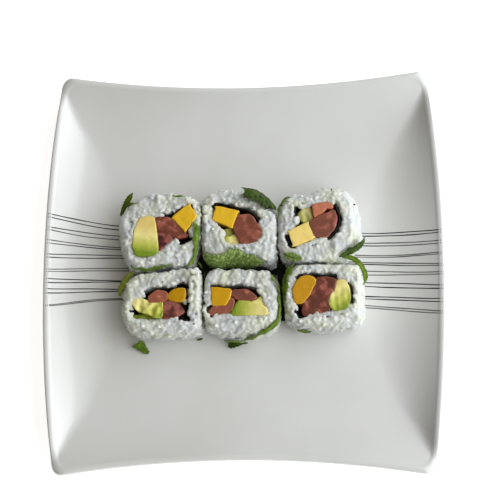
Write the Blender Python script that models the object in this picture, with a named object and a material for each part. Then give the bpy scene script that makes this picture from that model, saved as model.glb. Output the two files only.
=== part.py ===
# Six pieces of uramaki roll on a square white plate, with mint leaves tucked round them.
# Lengths in the tables are in millimetres and are turned to metres by MM. +Z is up, +Y is the far
# side of the plate, and the plate's foot stands on z = 0.

import math
import random

import bmesh
import bpy
from mathutils import Vector

MM = 0.001

# Plate: the left and right sides bow out, the near and far sides bow in
PLATE_SIDE_X = 125.0
PLATE_CORNER_X = 116.4
PLATE_SIDE_Y = 118.1
PLATE_CORNER_Y = 127.8
PLATE_FLOOR = 7.5
PLATE_RISE = 12.5
PLATE_WALL = 4.5
CORNER_ROUND = 0.045
WING_START = 0.58
SLOPE_START = 0.74
FOOT_HEIGHT = 3.0
FOOT_OUTER = 0.600
FOOT_INNER = 0.555
SIDE_STEPS = 11
CORNER_STEPS = 3

# Rolls: each stands on a cut end, with the other cut end up
ROLL_BASE = 7.8
ROLL_TOP = 33.0
RICE_COLUMNS = 48
WRAP_COLUMNS = 24
WRAP_HALF = 0.45
GAP = 0.35
GRAIN_BUMP = 0.75
BULGE = 1.0
FILLING_INSET = 0.32
FILLING_ROUND = 0.9
FILLING_EDGE = 0.3

# Leaves
LEAF_HALF = 0.25
LEAF_CLEAR = 1.4
LEAF_STEPS = 8
LEAF_ACROSS = 2

# rim is the outline of the rice seen from above, wrap the line of the seaweed, both about the roll's
# centre. skirts say towards which side the rice spreads, and by how much. Each filling is its name,
# its corners and how far its top lies above the roll's top.
ROLLS = {
    "roll_1": {
        "centre": (-50.1, 21.0),
        "rim": [(-24.2, 3.6), (-21.6, 12.5), (-14.6, 19.3), (-9.1, 22.9), (1.1, 23.7), (16.2, 22.1),
                (22.6, 18.6), (25.4, 9.6), (24.6, -0.2), (21.6, -11.4), (17.8, -20.8), (4.9, -21.2),
                (-8.4, -23.0), (-15.5, -23.0), (-19.5, -17.7), (-23.2, -7.6)],
        "wrap": [(-11.0, 10.6), (-2.0, 9.8), (6.8, 10.6), (12.9, 15.2), (18.0, 17.2), (21.0, 14.2),
                 (22.4, 8.8), (19.6, 1.4), (19.4, -4.2), (17.4, -7.4), (8.6, -7.2), (4.4, -10.4),
                 (-1.2, -14.6), (-7.0, -17.0), (-15.8, -16.2), (-17.6, -9.7), (-16.8, 0.3), (-14.2, 7.1)],
        "skirts": [(175, 1.6), (80, 0.8)],
        "fillings": [
            ("avocado", [(-10.1, 9.6), (-3.6, 8.4), (-2.3, 0.9), (-0.9, -11.1), (-2.0, -13.6), (-6.2, -15.4),
                         (-14.6, -14.8), (-16.2, -9.7), (-15.4, 0.3), (-13.2, 6.5)], 0.4),
            ("tuna_1", [(-3.2, 8.4), (3.3, 8.5), (7.7, 7.2), (12.4, 1.5), (16.6, -3.2), (8.6, -4.2),
                        (-1.9, 1.0)], -0.4),
            ("tuna_2", [(-1.9, 0.6), (8.2, -4.4), (3.6, -8.6), (-0.5, -12.0)], -0.2),
            ("mango", [(7.8, 8.4), (17.6, 15.9), (21.9, 9.0), (15.4, 0.4)], 0.6),
        ],
    },
    "roll_2": {
        "centre": (-1.8, 23.5),
        "rim": [(-22.6, 4.5), (-22.0, 16.0), (-18.9, 20.2), (-14.2, 22.2), (-7.9, 23.3), (0.0, 21.8),
                (9.4, 19.0), (17.3, 13.4), (22.6, 6.2), (23.2, -1.8), (22.9, -11.4), (20.2, -20.4),
                (11.8, -19.4), (-2.2, -17.6), (-13.2, -19.4), (-19.4, -17.2), (-21.4, -9.2), (-21.4, -2.4)],
        "wrap": [(-16.3, 13.6), (-11.2, 14.6), (-2.3, 12.2), (5.5, 9.8), (11.2, 5.2), (15.6, -3.3),
                 (13.9, -9.0), (7.9, -11.4), (1.6, -12.5), (-4.6, -12.4), (-9.9, -9.6), (-10.6, -2.4),
                 (-15.6, 1.6), (-17.4, 5.4)],
        "skirts": [(90, 1.6), (-90, 2.4)],
        "fillings": [
            ("mango", [(-13.3, 12.2), (-1.0, 9.2), (-4.3, -0.2), (-15.3, 4.6)], 0.5),
            ("tuna", [(0.0, 6.4), (6.7, 6.9), (9.4, 4.4), (10.4, 2.0), (14.5, -3.3), (13.0, -8.1), (7.9, -10.2),
                      (2.0, -10.7), (-0.7, -6.3), (-3.0, -1.6)], 0.0),
            ("avocado_1", [(-9.0, -2.0), (-4.0, -1.4), (-3.0, -4.2), (-5.4, -6.0), (-9.4, -6.2)], -1.4),
            ("avocado_2", [(-9.2, -6.8), (-5.6, -6.6), (-2.6, -4.7), (-1.2, -6.6), (0.7, -11.4), (-4.4, -11.6)],
             -0.8),
        ],
    },
    "roll_3": {
        "centre": (47.1, 23.7),
        "rim": [(-24.4, 0.5), (-24.0, 6.1), (-23.0, 13.3), (-19.3, 18.1), (-12.3, 19.6), (-6.0, 19.9),
                (1.1, 22.3), (8.1, 22.8), (15.4, 20.6), (19.2, 15.8), (21.4, 7.0), (21.8, -3.6),
                (20.6, -9.8), (16.2, -14.5), (11.1, -19.2), (5.3, -21.8), (-2.4, -22.6), (-11.0, -21.9),
                (-19.0, -20.0), (-23.0, -14.8), (-24.4, -6.7)],
        "wrap": [(-14.0, 10.6), (-9.2, 12.2), (-2.1, 13.9), (7.2, 14.8), (10.8, 11.4), (13.0, 4.0),
                 (11.3, -2.8), (6.8, -7.6), (-1.0, -9.8), (-7.8, -12.6), (-15.9, -14.2), (-18.9, -7.0),
                 (-19.6, -2.0), (-15.4, -1.2), (-13.2, 4.0)],
        "skirts": [(5, 3.2), (-70, 1.6), (90, 0.4)],
        "fillings": [
            ("avocado", [(-12.2, 7.1), (-7.6, 10.9), (-4.0, 10.2), (-3.2, 4.9), (-6.3, 2.4), (-10.4, 2.8)], 0.2),
            ("tuna_1", [(-3.4, 11.9), (-0.2, 13.1), (6.6, 13.4), (9.2, 11.0), (4.5, 10.9), (2.8, 8.4), (-2.4, 5.0)],
             0.3),
            ("tuna_2", [(-5.6, 1.2), (0.1, 5.9), (6.2, 7.3), (9.4, 9.6), (11.2, 4.6), (9.4, -2.4), (4.9, -7.1),
                        (-2.2, -7.1)], -0.4),
            ("mango", [(-17.6, -4.2), (-6.7, 1.2), (-2.9, -7.8), (-14.8, -12.7)], 0.4),
        ],
    },
    "roll_4": {
        "centre": (-47.4, -19.7),
        "rim": [(-24.0, -3.4), (-22.6, 6.9), (-16.4, 13.8), (-8.0, 16.4), (6.1, 17.7), (18.6, 18.0),
                (21.6, 12.4), (23.0, 1.6), (23.8, -9.4), (21.6, -18.0), (13.5, -20.9), (2.6, -21.0),
                (-9.0, -20.4), (-18.2, -18.8), (-23.4, -11.4)],
        "wrap": [(-20.2, -3.0), (-15.6, 0.4), (-9.3, 2.4), (-3.1, 5.0), (3.9, 4.8), (10.0, 7.4),
                 (14.9, 7.6), (16.4, 1.4), (18.4, -5.6), (18.6, -12.6), (14.0, -15.2), (8.0, -13.8),
                 (-0.1, -15.4), (-9.1, -15.8), (-17.4, -15.8), (-19.8, -13.4), (-20.4, -8.2)],
        "skirts": [(-95, 2.0), (175, 1.0)],
        "fillings": [
            ("avocado_1", [(-19.2, -3.6), (-17.4, -1.6), (-13.2, -1.4), (-8.4, -4.5), (-0.5, -4.2), (-0.6, -13.0),
                           (-6.0, -12.6), (-10.7, -10.4), (-16.2, -7.9)], 0.3),
            ("avocado_2", [(-18.6, -12.1), (-10.7, -11.2), (-6.0, -13.4), (-8.3, -14.8), (-16.9, -14.7)], -1.0),
            ("tuna_1", [(-9.4, -0.9), (-3.9, 3.4), (2.2, 2.0), (1.7, -3.1), (-7.7, -3.8)], 0.2),
            ("tuna_2", [(0.0, -4.0), (2.4, -2.7), (8.5, -4.3), (12.6, -9.6), (6.4, -12.8), (0.0, -13.6)], -0.2),
            ("mango", [(3.4, 1.6), (7.2, 4.0), (12.9, 4.4), (12.6, -2.6), (7.3, -3.1), (3.2, -1.6)], 0.2),
        ],
    },
    "roll_5": {
        "centre": (0.2, -20.1),
        "rim": [(-22.0, 9.8), (-19.4, 16.4), (-14.8, 17.4), (-9.7, 16.9), (3.5, 16.6), (15.4, 15.6),
                (18.7, 12.2), (21.8, 5.4), (22.6, -4.4), (22.2, -12.6), (16.7, -18.2), (7.4, -20.2),
                (-4.1, -20.2), (-15.0, -19.2), (-21.4, -16.0), (-22.8, -8.0), (-22.8, 1.0)],
        "wrap": [(-19.4, 5.2), (-15.8, 7.3), (-7.3, 5.0), (0.4, 5.6), (7.4, 4.0), (13.0, 1.4),
                 (14.4, -3.1), (17.2, -9.4), (14.9, -12.3), (0.0, -12.6), (-8.0, -12.4), (-19.4, -12.2),
                 (-20.9, -8.0), (-19.2, -3.0)],
        "skirts": [(-90, 2.2)],
        "fillings": [
            ("mango", [(-17.8, 4.9), (-6.4, 3.7), (-7.3, -0.5), (-9.4, -5.0), (-17.3, -5.2)], 0.4),
            ("tuna_1", [(-5.8, 3.3), (3.5, 3.5), (9.4, -1.2), (8.4, -2.6), (-1.1, -2.0), (-5.4, 0.0)], 0.0),
            ("tuna_2", [(-19.4, -9.0), (-16.6, -6.2), (-9.2, -5.8), (-6.2, -0.9), (-4.4, -3.2), (-7.4, -10.4),
                        (-19.0, -11.0)], -0.5),
            ("avocado_1", [(-1.6, -3.2), (5.9, -4.1), (12.5, -6.1), (15.6, -8.8), (14.4, -11.2), (-6.3, -11.6),
                           (-4.3, -7.1)], 0.3),
            ("avocado_2", [(5.6, -3.4), (9.6, -2.0), (13.0, -0.6), (13.4, -5.2), (10.6, -5.0)], -1.0),
        ],
    },
    "roll_6": {
        "centre": (48.6, -18.0),
        "rim": [(-22.4, 3.3), (-21.2, 10.0), (-17.4, 15.5), (-11.6, 17.6), (0.0, 17.8), (12.4, 17.6),
                (20.1, 16.6), (23.6, 11.4), (24.1, 2.8), (23.2, -7.4), (22.4, -13.4), (18.1, -16.8),
                (7.3, -19.0), (-4.2, -20.0), (-12.4, -19.6), (-18.4, -16.8), (-21.8, -10.8), (-22.6, -2.6)],
        "wrap": [(-18.2, 1.4), (-16.2, 6.9), (-12.2, 10.4), (-7.0, 10.6), (1.8, 10.2), (9.2, 9.4),
                 (14.8, 8.2), (17.2, 2.9), (18.4, -4.2), (16.0, -10.6), (7.4, -13.0), (-1.8, -14.0),
                 (-9.5, -15.3), (-13.6, -14.8), (-16.6, -8.6)],
        "skirts": [(-80, 2.0), (0, 1.2)],
        "fillings": [
            ("mango", [(-17.0, 1.1), (-14.2, 7.0), (-10.9, 9.3), (-6.3, 9.2), (-2.9, 7.2), (-6.6, -1.0),
                       (-11.4, -6.5), (-15.7, -6.3)], 0.5),
            ("tuna", [(-2.5, 8.4), (3.8, 8.6), (8.9, 7.0), (7.6, 0.8), (4.6, -2.5), (3.8, -5.0), (4.4, -11.9),
                      (-2.6, -13.0), (-10.1, -14.2), (-11.6, -12.3), (-10.4, -6.9), (-6.3, -1.3)], 0.0),
            ("avocado", [(9.7, 6.7), (13.8, 7.0), (16.2, 2.9), (17.2, -4.2), (15.5, -9.2), (8.4, -11.6),
                         (5.1, -8.6), (5.0, -2.9), (8.4, 0.8)], 0.4),
        ],
    },
}

# Where two rolls press together: the two rolls, two points on the line between them, with the first
# roll on its left side going from the first point to the second, and the space left between the rice
SEAMS = [
    ("roll_1", "roll_2", (-26.2, 0.0), (-24.8, 40.0), 0.5),
    ("roll_2", "roll_3", (21.9, 0.0), (21.9, 40.0), 0.6),
    ("roll_4", "roll_5", (-23.2, -40.0), (-23.2, 0.0), 1.8),
    ("roll_5", "roll_6", (24.6, -40.0), (24.6, 0.0), 3.6),
    ("roll_1", "roll_4", (-65.0, -4.4), (-28.0, -0.9), 2.6),
    ("roll_2", "roll_5", (-20.0, -0.6), (20.0, -1.2), 1.8),
    ("roll_3", "roll_6", (20.0, 0.6), (80.0, 0.6), 1.8),
]

# Leaves that lie on a roll: the roll, points of the leaf's middle line, the half width, how far the two
# ends lift off the rice, and the steps along and across. A point is an angle round the roll and a place
# on its half section, from 1 at the outer bottom edge through 3 at the swell and 6 at the shoulder to 9
# at the inner top edge, and the half width is in the same steps.
LEAVES_ON_ROLLS = {
    "leaf_corner_short": ("roll_1", [(146, 5.0), (138, 5.7), (130, 6.2)], 0.45, (0.0, 0.0), LEAF_STEPS, 2),
    "leaf_far_bit": ("roll_1", [(59, 6.1), (68, 6.0), (78, 6.1)], 0.30, (0.0, 0.0), 6, 2),
    "leaf_between_1_2": ("roll_1", [(17, 6.7), (358, 6.2), (341, 5.8), (326, 5.4), (304, 5.1)], 0.55,
                         (0.0, 0.0), LEAF_STEPS, 2),
    "leaf_between_1_4": ("roll_1", [(226, 5.7), (251, 5.3), (283, 5.6)], 0.55, (0.0, 0.0), LEAF_STEPS, 2),
    "leaf_left_edge": ("roll_4", [(126, 5.8), (141, 5.1), (155, 4.8), (170, 4.4)], 0.65, (0.0, 0.4),
                       LEAF_STEPS, 2),
    "leaf_folded": ("roll_2", [(82, 6.2), (66, 5.7), (48, 5.2), (33, 5.0), (20, 5.4)], 1.6, (3.0, 1.2),
                    10, 4),
    "leaf_between_2_3": ("roll_3", [(128, 6.1), (140, 5.7), (153, 5.4), (168, 5.2)], 0.50, (0.0, 0.0),
                         LEAF_STEPS, 2),
    "leaf_netted": ("roll_2", [(224, 5.2), (250, 4.9), (277, 4.8), (305, 5.0)], 2.0, (0.2, 0.2), 10, 4),
    "leaf_pale": ("roll_3", [(226, 5.8), (239, 6.1), (252, 6.0)], 0.80, (0.0, 0.0), 6, 2),
    "leaf_right_tip": ("roll_3", [(307, 5.2), (322, 5.0), (334, 4.6), (345, 4.3)], 0.70, (0.4, 3.0),
                       LEAF_STEPS, 2),
    "leaf_right_edge": ("roll_6", [(64, 5.9), (48, 5.5), (34, 5.2), (17, 4.9)], 0.65, (0.0, 0.3),
                        LEAF_STEPS, 2),
    "leaf_left_of_6": ("roll_6", [(130, 5.9), (145, 5.8), (160, 5.7), (176, 5.6), (192, 5.4)], 0.80,
                       (1.6, 0.0), LEAF_STEPS, 2),
    "leaf_right_of_5": ("roll_5", [(40, 5.8), (20, 5.5), (0, 5.3), (340, 5.2), (318, 4.8), (296, 3.9),
                                   (276, 2.8)], 0.60, (0.0, 0.0), 12, 2),
    "leaf_near_bit": ("roll_6", [(231, 4.0), (241, 3.8), (252, 4.0)], 0.35, (0.0, 0.0), 6, 2),
}

# Leaves that stand or lie free: points of the middle line, the way the leaf is wide, and its half width
# at the start, the middle and the end
LEAVES_FREE = {
    "leaf_corner_tall": ([(-67.8, 47.6, 27.0), (-72.0, 42.6, 22.5), (-77.4, 35.8, 14.0)], (0.5, 0.5, 0.7),
                         (0.5, 2.4, 0.8)),
    "leaf_gap_upper": ([(-27.6, 3.6, 25.4), (-26.0, 1.6, 26.4), (-24.4, -0.8, 25.6)], (0.2, 0.1, 1.0),
                       (0.5, 2.2, 0.8)),
    "leaf_gap_lower": ([(-23.2, -3.4, 25.0), (-23.2, -7.0, 27.5), (-23.2, -11.0, 26.0)], (0.0, 0.0, 1.0),
                       (0.6, 2.2, 0.5)),
    "leaf_tip_near": ([(-13.0, -45.2, 8.7), (-5.0, -46.2, 9.6), (3.0, -44.8, 8.9)], (0.0, 1.0, 0.1),
                      (0.5, 3.2, 0.4)),
    "leaf_scrap": ([(-63.6, -43.4, 11.6), (-63.9, -46.4, 10.2), (-64.4, -50.6, 8.9)], (1.0, 0.1, 0.0),
                   (0.6, 3.6, 5.4)),
    "leaf_crumb": ([(-29.0, -42.8, 8.7), (-27.2, -42.4, 9.0), (-25.4, -42.0, 8.7)], (0.1, 1.0, 0.2),
                   (0.4, 0.9, 0.4)),
}


def material(name, colour, roughness):
    """A Principled material of one colour."""
    made = bpy.data.materials.new(name)
    made.use_nodes = True
    shader = made.node_tree.nodes["Principled BSDF"]
    shader.inputs["Base Color"].default_value = (*colour, 1.0)
    shader.inputs["Roughness"].default_value = roughness
    made.diffuse_color = (*colour, 1.0)
    return made


def add_object(name, build_mesh, finish, smooth=True):
    """Make one object from a bmesh, with its faces pointing out."""
    if build_mesh.calc_volume(signed=True) < 0:
        bmesh.ops.reverse_faces(build_mesh, faces=build_mesh.faces)
    mesh = bpy.data.meshes.new(name)
    build_mesh.to_mesh(mesh)
    build_mesh.free()
    mesh.materials.append(finish)
    if smooth:
        mesh.shade_smooth()
        mesh.set_sharp_from_angle(angle=math.radians(50))
    piece = bpy.data.objects.new(name, mesh)
    bpy.context.scene.collection.objects.link(piece)
    return piece


def loops_to_mesh(loops, closed=False):
    """Join loops of points, in millimetres, by quads. A closed stack meets itself, as a tube's wall does,
    and an open one has its first and last loops filled."""
    made = bmesh.new()
    rings = [[made.verts.new(Vector(point) * MM) for point in loop] for loop in loops]
    count = len(rings[0])
    pairs = list(zip(rings, rings[1:]))
    if closed:
        pairs.append((rings[-1], rings[0]))
    for lower, upper in pairs:
        for i in range(count):
            j = (i + 1) % count
            made.faces.new((lower[i], lower[j], upper[j], upper[i]))
    if not closed:
        made.faces.new(rings[0][::-1])
        made.faces.new(rings[-1])
    return made


def smooth_loop(points, steps=6):
    """A closed Catmull-Rom curve through the points."""
    count = len(points)
    curve = []
    for i in range(count):
        a, b, c, d = (Vector(points[(i + k) % count]) for k in (-1, 0, 1, 2))
        for step in range(steps):
            t = step / steps
            spread = 2 * b + (c - a) * t + (2 * a - 5 * b + 4 * c - d) * t ** 2
            curve.append((spread + (3 * b - a - 3 * c + d) * t ** 3) / 2)
    return curve


def middle(points):
    """The middle of the box round the points."""
    xs = [point[0] for point in points]
    ys = [point[1] for point in points]
    return Vector(((min(xs) + max(xs)) / 2, (min(ys) + max(ys)) / 2))


def reach(curve, start, angle):
    """The furthest point of a closed curve from start in one direction."""
    way = Vector((math.cos(angle), math.sin(angle)))
    best = 0.0
    for i, point in enumerate(curve):
        a = point - start
        b = curve[(i + 1) % len(curve)] - start
        side_a = way.x * a.y - way.y * a.x
        side_b = way.x * b.y - way.y * b.x
        if side_a * side_b > 0 or side_a == side_b:
            continue
        crossing = a + (b - a) * (side_a / (side_a - side_b))
        best = max(best, crossing.dot(way))
    return start + way * best


def plate_outline():
    """The plate's rounded square in its own two directions, from -1 to 1."""
    straight = 1.0 - CORNER_ROUND
    points = []
    for quarter in range(4):
        turn = math.radians(90 * quarter)
        side = [(1.0, straight * (2 * i / SIDE_STEPS - 1)) for i in range(SIDE_STEPS + 1)]
        bend = [math.radians(90 * i / CORNER_STEPS) for i in range(1, CORNER_STEPS)]
        side += [(straight + CORNER_ROUND * math.cos(a), straight + CORNER_ROUND * math.sin(a)) for a in bend]
        for u, v in side:
            points.append((u * math.cos(turn) - v * math.sin(turn), u * math.sin(turn) + v * math.cos(turn)))
    return points


def plate_top(u, v):
    """Height of the plate's upper face: a level floor, and four sides that curve up to the rim."""
    wing_start = min(WING_START + (1 - WING_START) * v * v, 0.985)
    wing = max(0.0, abs(u) - wing_start) / (1 - wing_start)
    slope = max(0.0, abs(v) - SLOPE_START) / (1 - SLOPE_START)
    return PLATE_FLOOR + PLATE_RISE * (wing ** 8 + slope ** 7) ** 0.25


def plate_point(u, v, scale, height):
    """A point of the plate in plan, from its own two directions, at a height."""
    u *= scale
    v *= scale
    x = u * (PLATE_CORNER_X + (PLATE_SIDE_X - PLATE_CORNER_X) * (1 - v * v))
    y = v * (PLATE_CORNER_Y - (PLATE_CORNER_Y - PLATE_SIDE_Y) * (1 - u * u))
    return (x, y, height)


def make_plate(finish):
    outline = plate_outline()
    inner_edge = 0.968
    loops = []

    def top(scale, above=0.0):
        loops.append([plate_point(u, v, scale, plate_top(u * scale, v * scale) + above) for u, v in outline])

    def under(scale, plate_wall):
        heights = [max(plate_top(u * scale, v * scale) - plate_wall, FOOT_HEIGHT) for u, v in outline]
        loops.append([plate_point(u, v, scale, h) for (u, v), h in zip(outline, heights)])

    def level(scale, height):
        loops.append([plate_point(u, v, scale, height) for u, v in outline])

    for scale in (0.35, 0.58, 0.68, 0.76, 0.83, 0.89, 0.935, inner_edge):
        top(scale)
    top(0.982, 0.9)
    top(0.994, 0.5)
    top(1.0, -1.2)
    top(0.994, -3.4)
    for scale in (0.96, 0.88, 0.78, 0.68):
        under(scale, PLATE_WALL)
    level(FOOT_OUTER, FOOT_HEIGHT)
    level(FOOT_OUTER - 0.006, 0.0)
    level(FOOT_INNER, 0.0)
    level(FOOT_INNER - 0.008, FOOT_HEIGHT - 0.8)
    add_object("plate", loops_to_mesh(loops), finish)


def bulge_at(roll, angle):
    """How far the rice swells past its face in one direction."""
    swell = BULGE
    for direction, extra in roll["skirts"]:
        swell += extra * max(0.0, math.cos(angle - math.radians(direction)))
    return swell


def roll_section(roll, angle):
    """Points of one upright half section of the rice, from its inner bottom edge out, up and back in."""
    height = ROLL_TOP - ROLL_BASE
    start = roll["middle"]
    way = Vector((math.cos(angle), math.sin(angle)))
    edge = (reach(roll["rim_curve"], start, angle) - start).dot(way)
    inner = (wrap_reach(roll, angle) - start).dot(way) + WRAP_HALF + GAP
    swell = bulge_at(roll, angle)
    steps = [
        (inner, 0.0),
        (edge + 0.4 * swell - 1.0, 0.0),
        (edge + 0.95 * swell, 0.18),
        (edge + swell, 0.42),
        (edge + 0.8 * swell, 0.66),
        (edge + 0.3 * swell, 0.87),
        (edge - min(1.3, 0.4 * (edge - inner)), 0.985),
        (inner + (edge - inner) * 0.58, 1.0),
        (inner + (edge - inner) * 0.28, 1.0),
        (inner, 0.965),
    ]
    points = []
    for out, up in steps:
        flat = start + way * out
        points.append(Vector((flat.x, flat.y, ROLL_BASE + height * up)))
    return points


def wrap_reach(roll, angle):
    """The seaweed's line in one direction, straight between its columns."""
    step = math.tau / WRAP_COLUMNS
    first = math.floor(angle / step)
    share = angle / step - first
    a = roll["wrap_ring"][first % WRAP_COLUMNS]
    b = roll["wrap_ring"][(first + 1) % WRAP_COLUMNS]
    return a + (b - a) * share


def keep_to_seams(name, point, spare=0.0):
    """Push a point of a roll back to its own side of the lines between the rolls."""
    for first, second, start, end, space in SEAMS:
        if name not in (first, second):
            continue
        line = (Vector(end) - Vector(start)).normalized()
        outward = Vector((line.y, -line.x)) if name == first else Vector((-line.y, line.x))
        past = (Vector((point.x, point.y)) - Vector(start)).dot(outward) + space / 2 + spare
        if past > 0:
            point.x -= outward.x * past
            point.y -= outward.y * past
    return point


def make_rice(name, roll, finish, seed):
    """The ring of rice round the seaweed, with bumps the size of its grains."""
    draw = random.Random(seed)
    sections = [roll_section(roll, math.tau * i / RICE_COLUMNS) for i in range(RICE_COLUMNS)]
    last = len(sections[0]) - 1
    for i, section in enumerate(sections):
        angle = math.tau * i / RICE_COLUMNS
        for j in range(1, last):
            bump = draw.uniform(0.2, 1.0) * GRAIN_BUMP * (1 if (i + j) % 2 else -1)
            lean = math.radians(90) if j > 6 else math.radians((0, 0, -10, 0, 15, 40, 65)[j])
            if j == 1:
                bump = min(bump, 0.0)
            section[j].x += bump * math.cos(lean) * math.cos(angle)
            section[j].y += bump * math.cos(lean) * math.sin(angle)
            if j > 1:
                section[j].z += bump * math.sin(lean)
            keep_to_seams(name, section[j])
    loops = [[section[j] for section in sections] for j in range(last + 1)]
    add_object(name + "_rice", loops_to_mesh(loops, closed=True), finish)


def make_wrap(name, roll, finish):
    """The dark seaweed between the rice and the fillings, a thin tube from end to end of the roll."""
    start = roll["middle"]
    loops = []
    for offset, height in ((-WRAP_HALF, ROLL_BASE + 0.2), (WRAP_HALF, ROLL_BASE + 0.2),
                           (WRAP_HALF, ROLL_TOP - 0.5), (-WRAP_HALF, ROLL_TOP - 0.5)):
        loop = []
        for point in roll["wrap_ring"]:
            flat = point + (point - start).normalized() * offset
            loop.append((flat.x, flat.y, height))
        loops.append(loop)
    add_object(name + "_seaweed", loops_to_mesh(loops, closed=True), finish)


def shrink(points, distance):
    """Move each side of a polygon, given anticlockwise or clockwise, inwards by a distance."""
    count = len(points)
    area = sum(points[i][0] * points[(i + 1) % count][1] - points[(i + 1) % count][0] * points[i][1]
               for i in range(count))
    turn = 1.0 if area > 0 else -1.0
    moved = []
    for i in range(count):
        here = Vector(points[i])
        before = (here - Vector(points[i - 1])).normalized()
        after = (Vector(points[(i + 1) % count]) - here).normalized()
        inward = Vector((-before.y - after.y, before.x + after.x)) * turn
        moved.append(here + inward * (distance / max(0.5, 1.0 + before.dot(after))))
    return moved


def round_corners(points, radius):
    """Cut each corner of a polygon by two points."""
    count = len(points)
    cut = []
    for i in range(count):
        here = points[i]
        for other in (points[i - 1], points[(i + 1) % count]):
            way = other - here
            cut.append(here + way.normalized() * min(radius, way.length * 0.3))
    return cut


def make_filling(name, roll, corners, above, finish):
    """One stick of filling, upright through the roll, with a softened upper edge."""
    centre = Vector(roll["centre"])
    outline = round_corners(shrink(corners, FILLING_INSET), FILLING_ROUND)
    upper = shrink([tuple(point) for point in outline], FILLING_EDGE)
    top = ROLL_TOP + above
    loops = [
        [(centre.x + p.x, centre.y + p.y, ROLL_BASE + 0.2) for p in outline],
        [(centre.x + p.x, centre.y + p.y, top - FILLING_EDGE) for p in outline],
        [(centre.x + p.x, centre.y + p.y, top) for p in upper],
    ]
    add_object(name, loops_to_mesh(loops), finish)


def along_line(points, share):
    """A point of a smooth open line through the points, at a share of its length in points."""
    place = share * (len(points) - 1)
    first = min(int(place), len(points) - 2)
    t = place - first
    b = Vector(points[first])
    c = Vector(points[first + 1])
    a = Vector(points[first - 1]) if first > 0 else 2 * b - c
    d = Vector(points[first + 2]) if first + 2 < len(points) else 2 * c - b
    return (2 * b + (c - a) * t + (2 * a - 5 * b + 4 * c - d) * t ** 2 + (3 * b - a - 3 * c + d) * t ** 3) / 2


def skin_point(name, roll, angle, place):
    """A point of the rice without its bumps, at a place on the half section at an angle in degrees."""
    section = roll_section(roll, math.radians(angle))
    first = max(1, min(int(place), len(section) - 2))
    point = section[first] + (section[first + 1] - section[first]) * (place - first)
    return keep_to_seams(name, point)


def leaf_mesh(surface, steps, across):
    """A thin leaf: surface gives the point and the normal for a step along and across it. Both faces are
    split into triangles alike."""
    made = bmesh.new()
    sides = []
    for face in (1, -1):
        grid = []
        for i in range(steps + 1):
            row = []
            for k in range(across + 1):
                point, normal = surface(i / steps, 2 * k / across - 1, i)
                row.append(made.verts.new((point + normal * LEAF_HALF * face) * MM))
            grid.append(row)
        sides.append(grid)
    upper, lower = sides
    for i in range(steps):
        for k in range(across):
            for grid, turn in ((upper, 1), (lower, -1)):
                a, b, c, d = grid[i][k], grid[i + 1][k], grid[i + 1][k + 1], grid[i][k + 1]
                for corners in ((a, b, c), (a, c, d)):
                    made.faces.new(corners[::turn])
    edge = [(i, 0) for i in range(steps)] + [(steps, k) for k in range(across)]
    edge += [(i, across) for i in range(steps, 0, -1)] + [(0, k) for k in range(across, 0, -1)]
    for here, there in zip(edge, edge[1:] + edge[:1]):
        a, b = upper[here[0]][here[1]], upper[there[0]][there[1]]
        c, d = lower[there[0]][there[1]], lower[here[0]][here[1]]
        made.faces.new((b, a, d))
        made.faces.new((b, d, c))
    return made


def make_leaf_on_roll(name, roll_name, line, half, lifts, steps, across, finish):
    roll = ROLLS[roll_name]
    turned = []
    for angle, place in line:
        if turned and angle - turned[-1][0] > 180:
            angle -= 360
        if turned and angle - turned[-1][0] < -180:
            angle += 360
        turned.append((angle, place))

    def surface(share, side, step):
        angle, place = along_line(turned, share)
        tooth = 1.06 if step % 2 else 0.94
        spread = side * half * (0.12 + 0.88 * math.sin(math.pi * share) ** 0.7) * tooth
        here = skin_point(roll_name, roll, angle, place + spread)
        up = skin_point(roll_name, roll, angle, place + spread + 0.3)
        down = skin_point(roll_name, roll, angle, place + spread - 0.3)
        beside = skin_point(roll_name, roll, angle + 3.0, place + spread)
        normal = (beside - here).cross(up - down).normalized()
        lift = lifts[0] + (lifts[1] - lifts[0]) * share + 0.15 * (1 - side * side)
        point = here + normal * (LEAF_CLEAR + lift)
        return keep_to_seams(roll_name, point, -0.8), normal

    add_object(name, leaf_mesh(surface, steps, across), finish)


def make_free_leaf(name, line, wide, halves, finish):
    start, middle_half, end = halves

    def surface(share, side, step):
        here = along_line(line, share)
        ahead = along_line(line, min(1.0, share + 0.05)) - along_line(line, max(0.0, share - 0.05))
        width_way = (Vector(wide) - Vector(wide).project(ahead)).normalized()
        normal = ahead.cross(width_way).normalized()
        tooth = 1.08 if step % 2 else 0.92
        half = start * (1 - share) * (1 - 2 * share) + middle_half * 4 * share * (1 - share)
        half += end * share * (2 * share - 1)
        cup = 0.35 * (1 - side * side)
        return here + width_way * side * half * tooth + normal * cup, normal

    add_object(name, leaf_mesh(surface, LEAF_STEPS, LEAF_ACROSS), finish)


def clear_scene():
    for piece in list(bpy.data.objects):
        bpy.data.objects.remove(piece, do_unlink=True)


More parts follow.
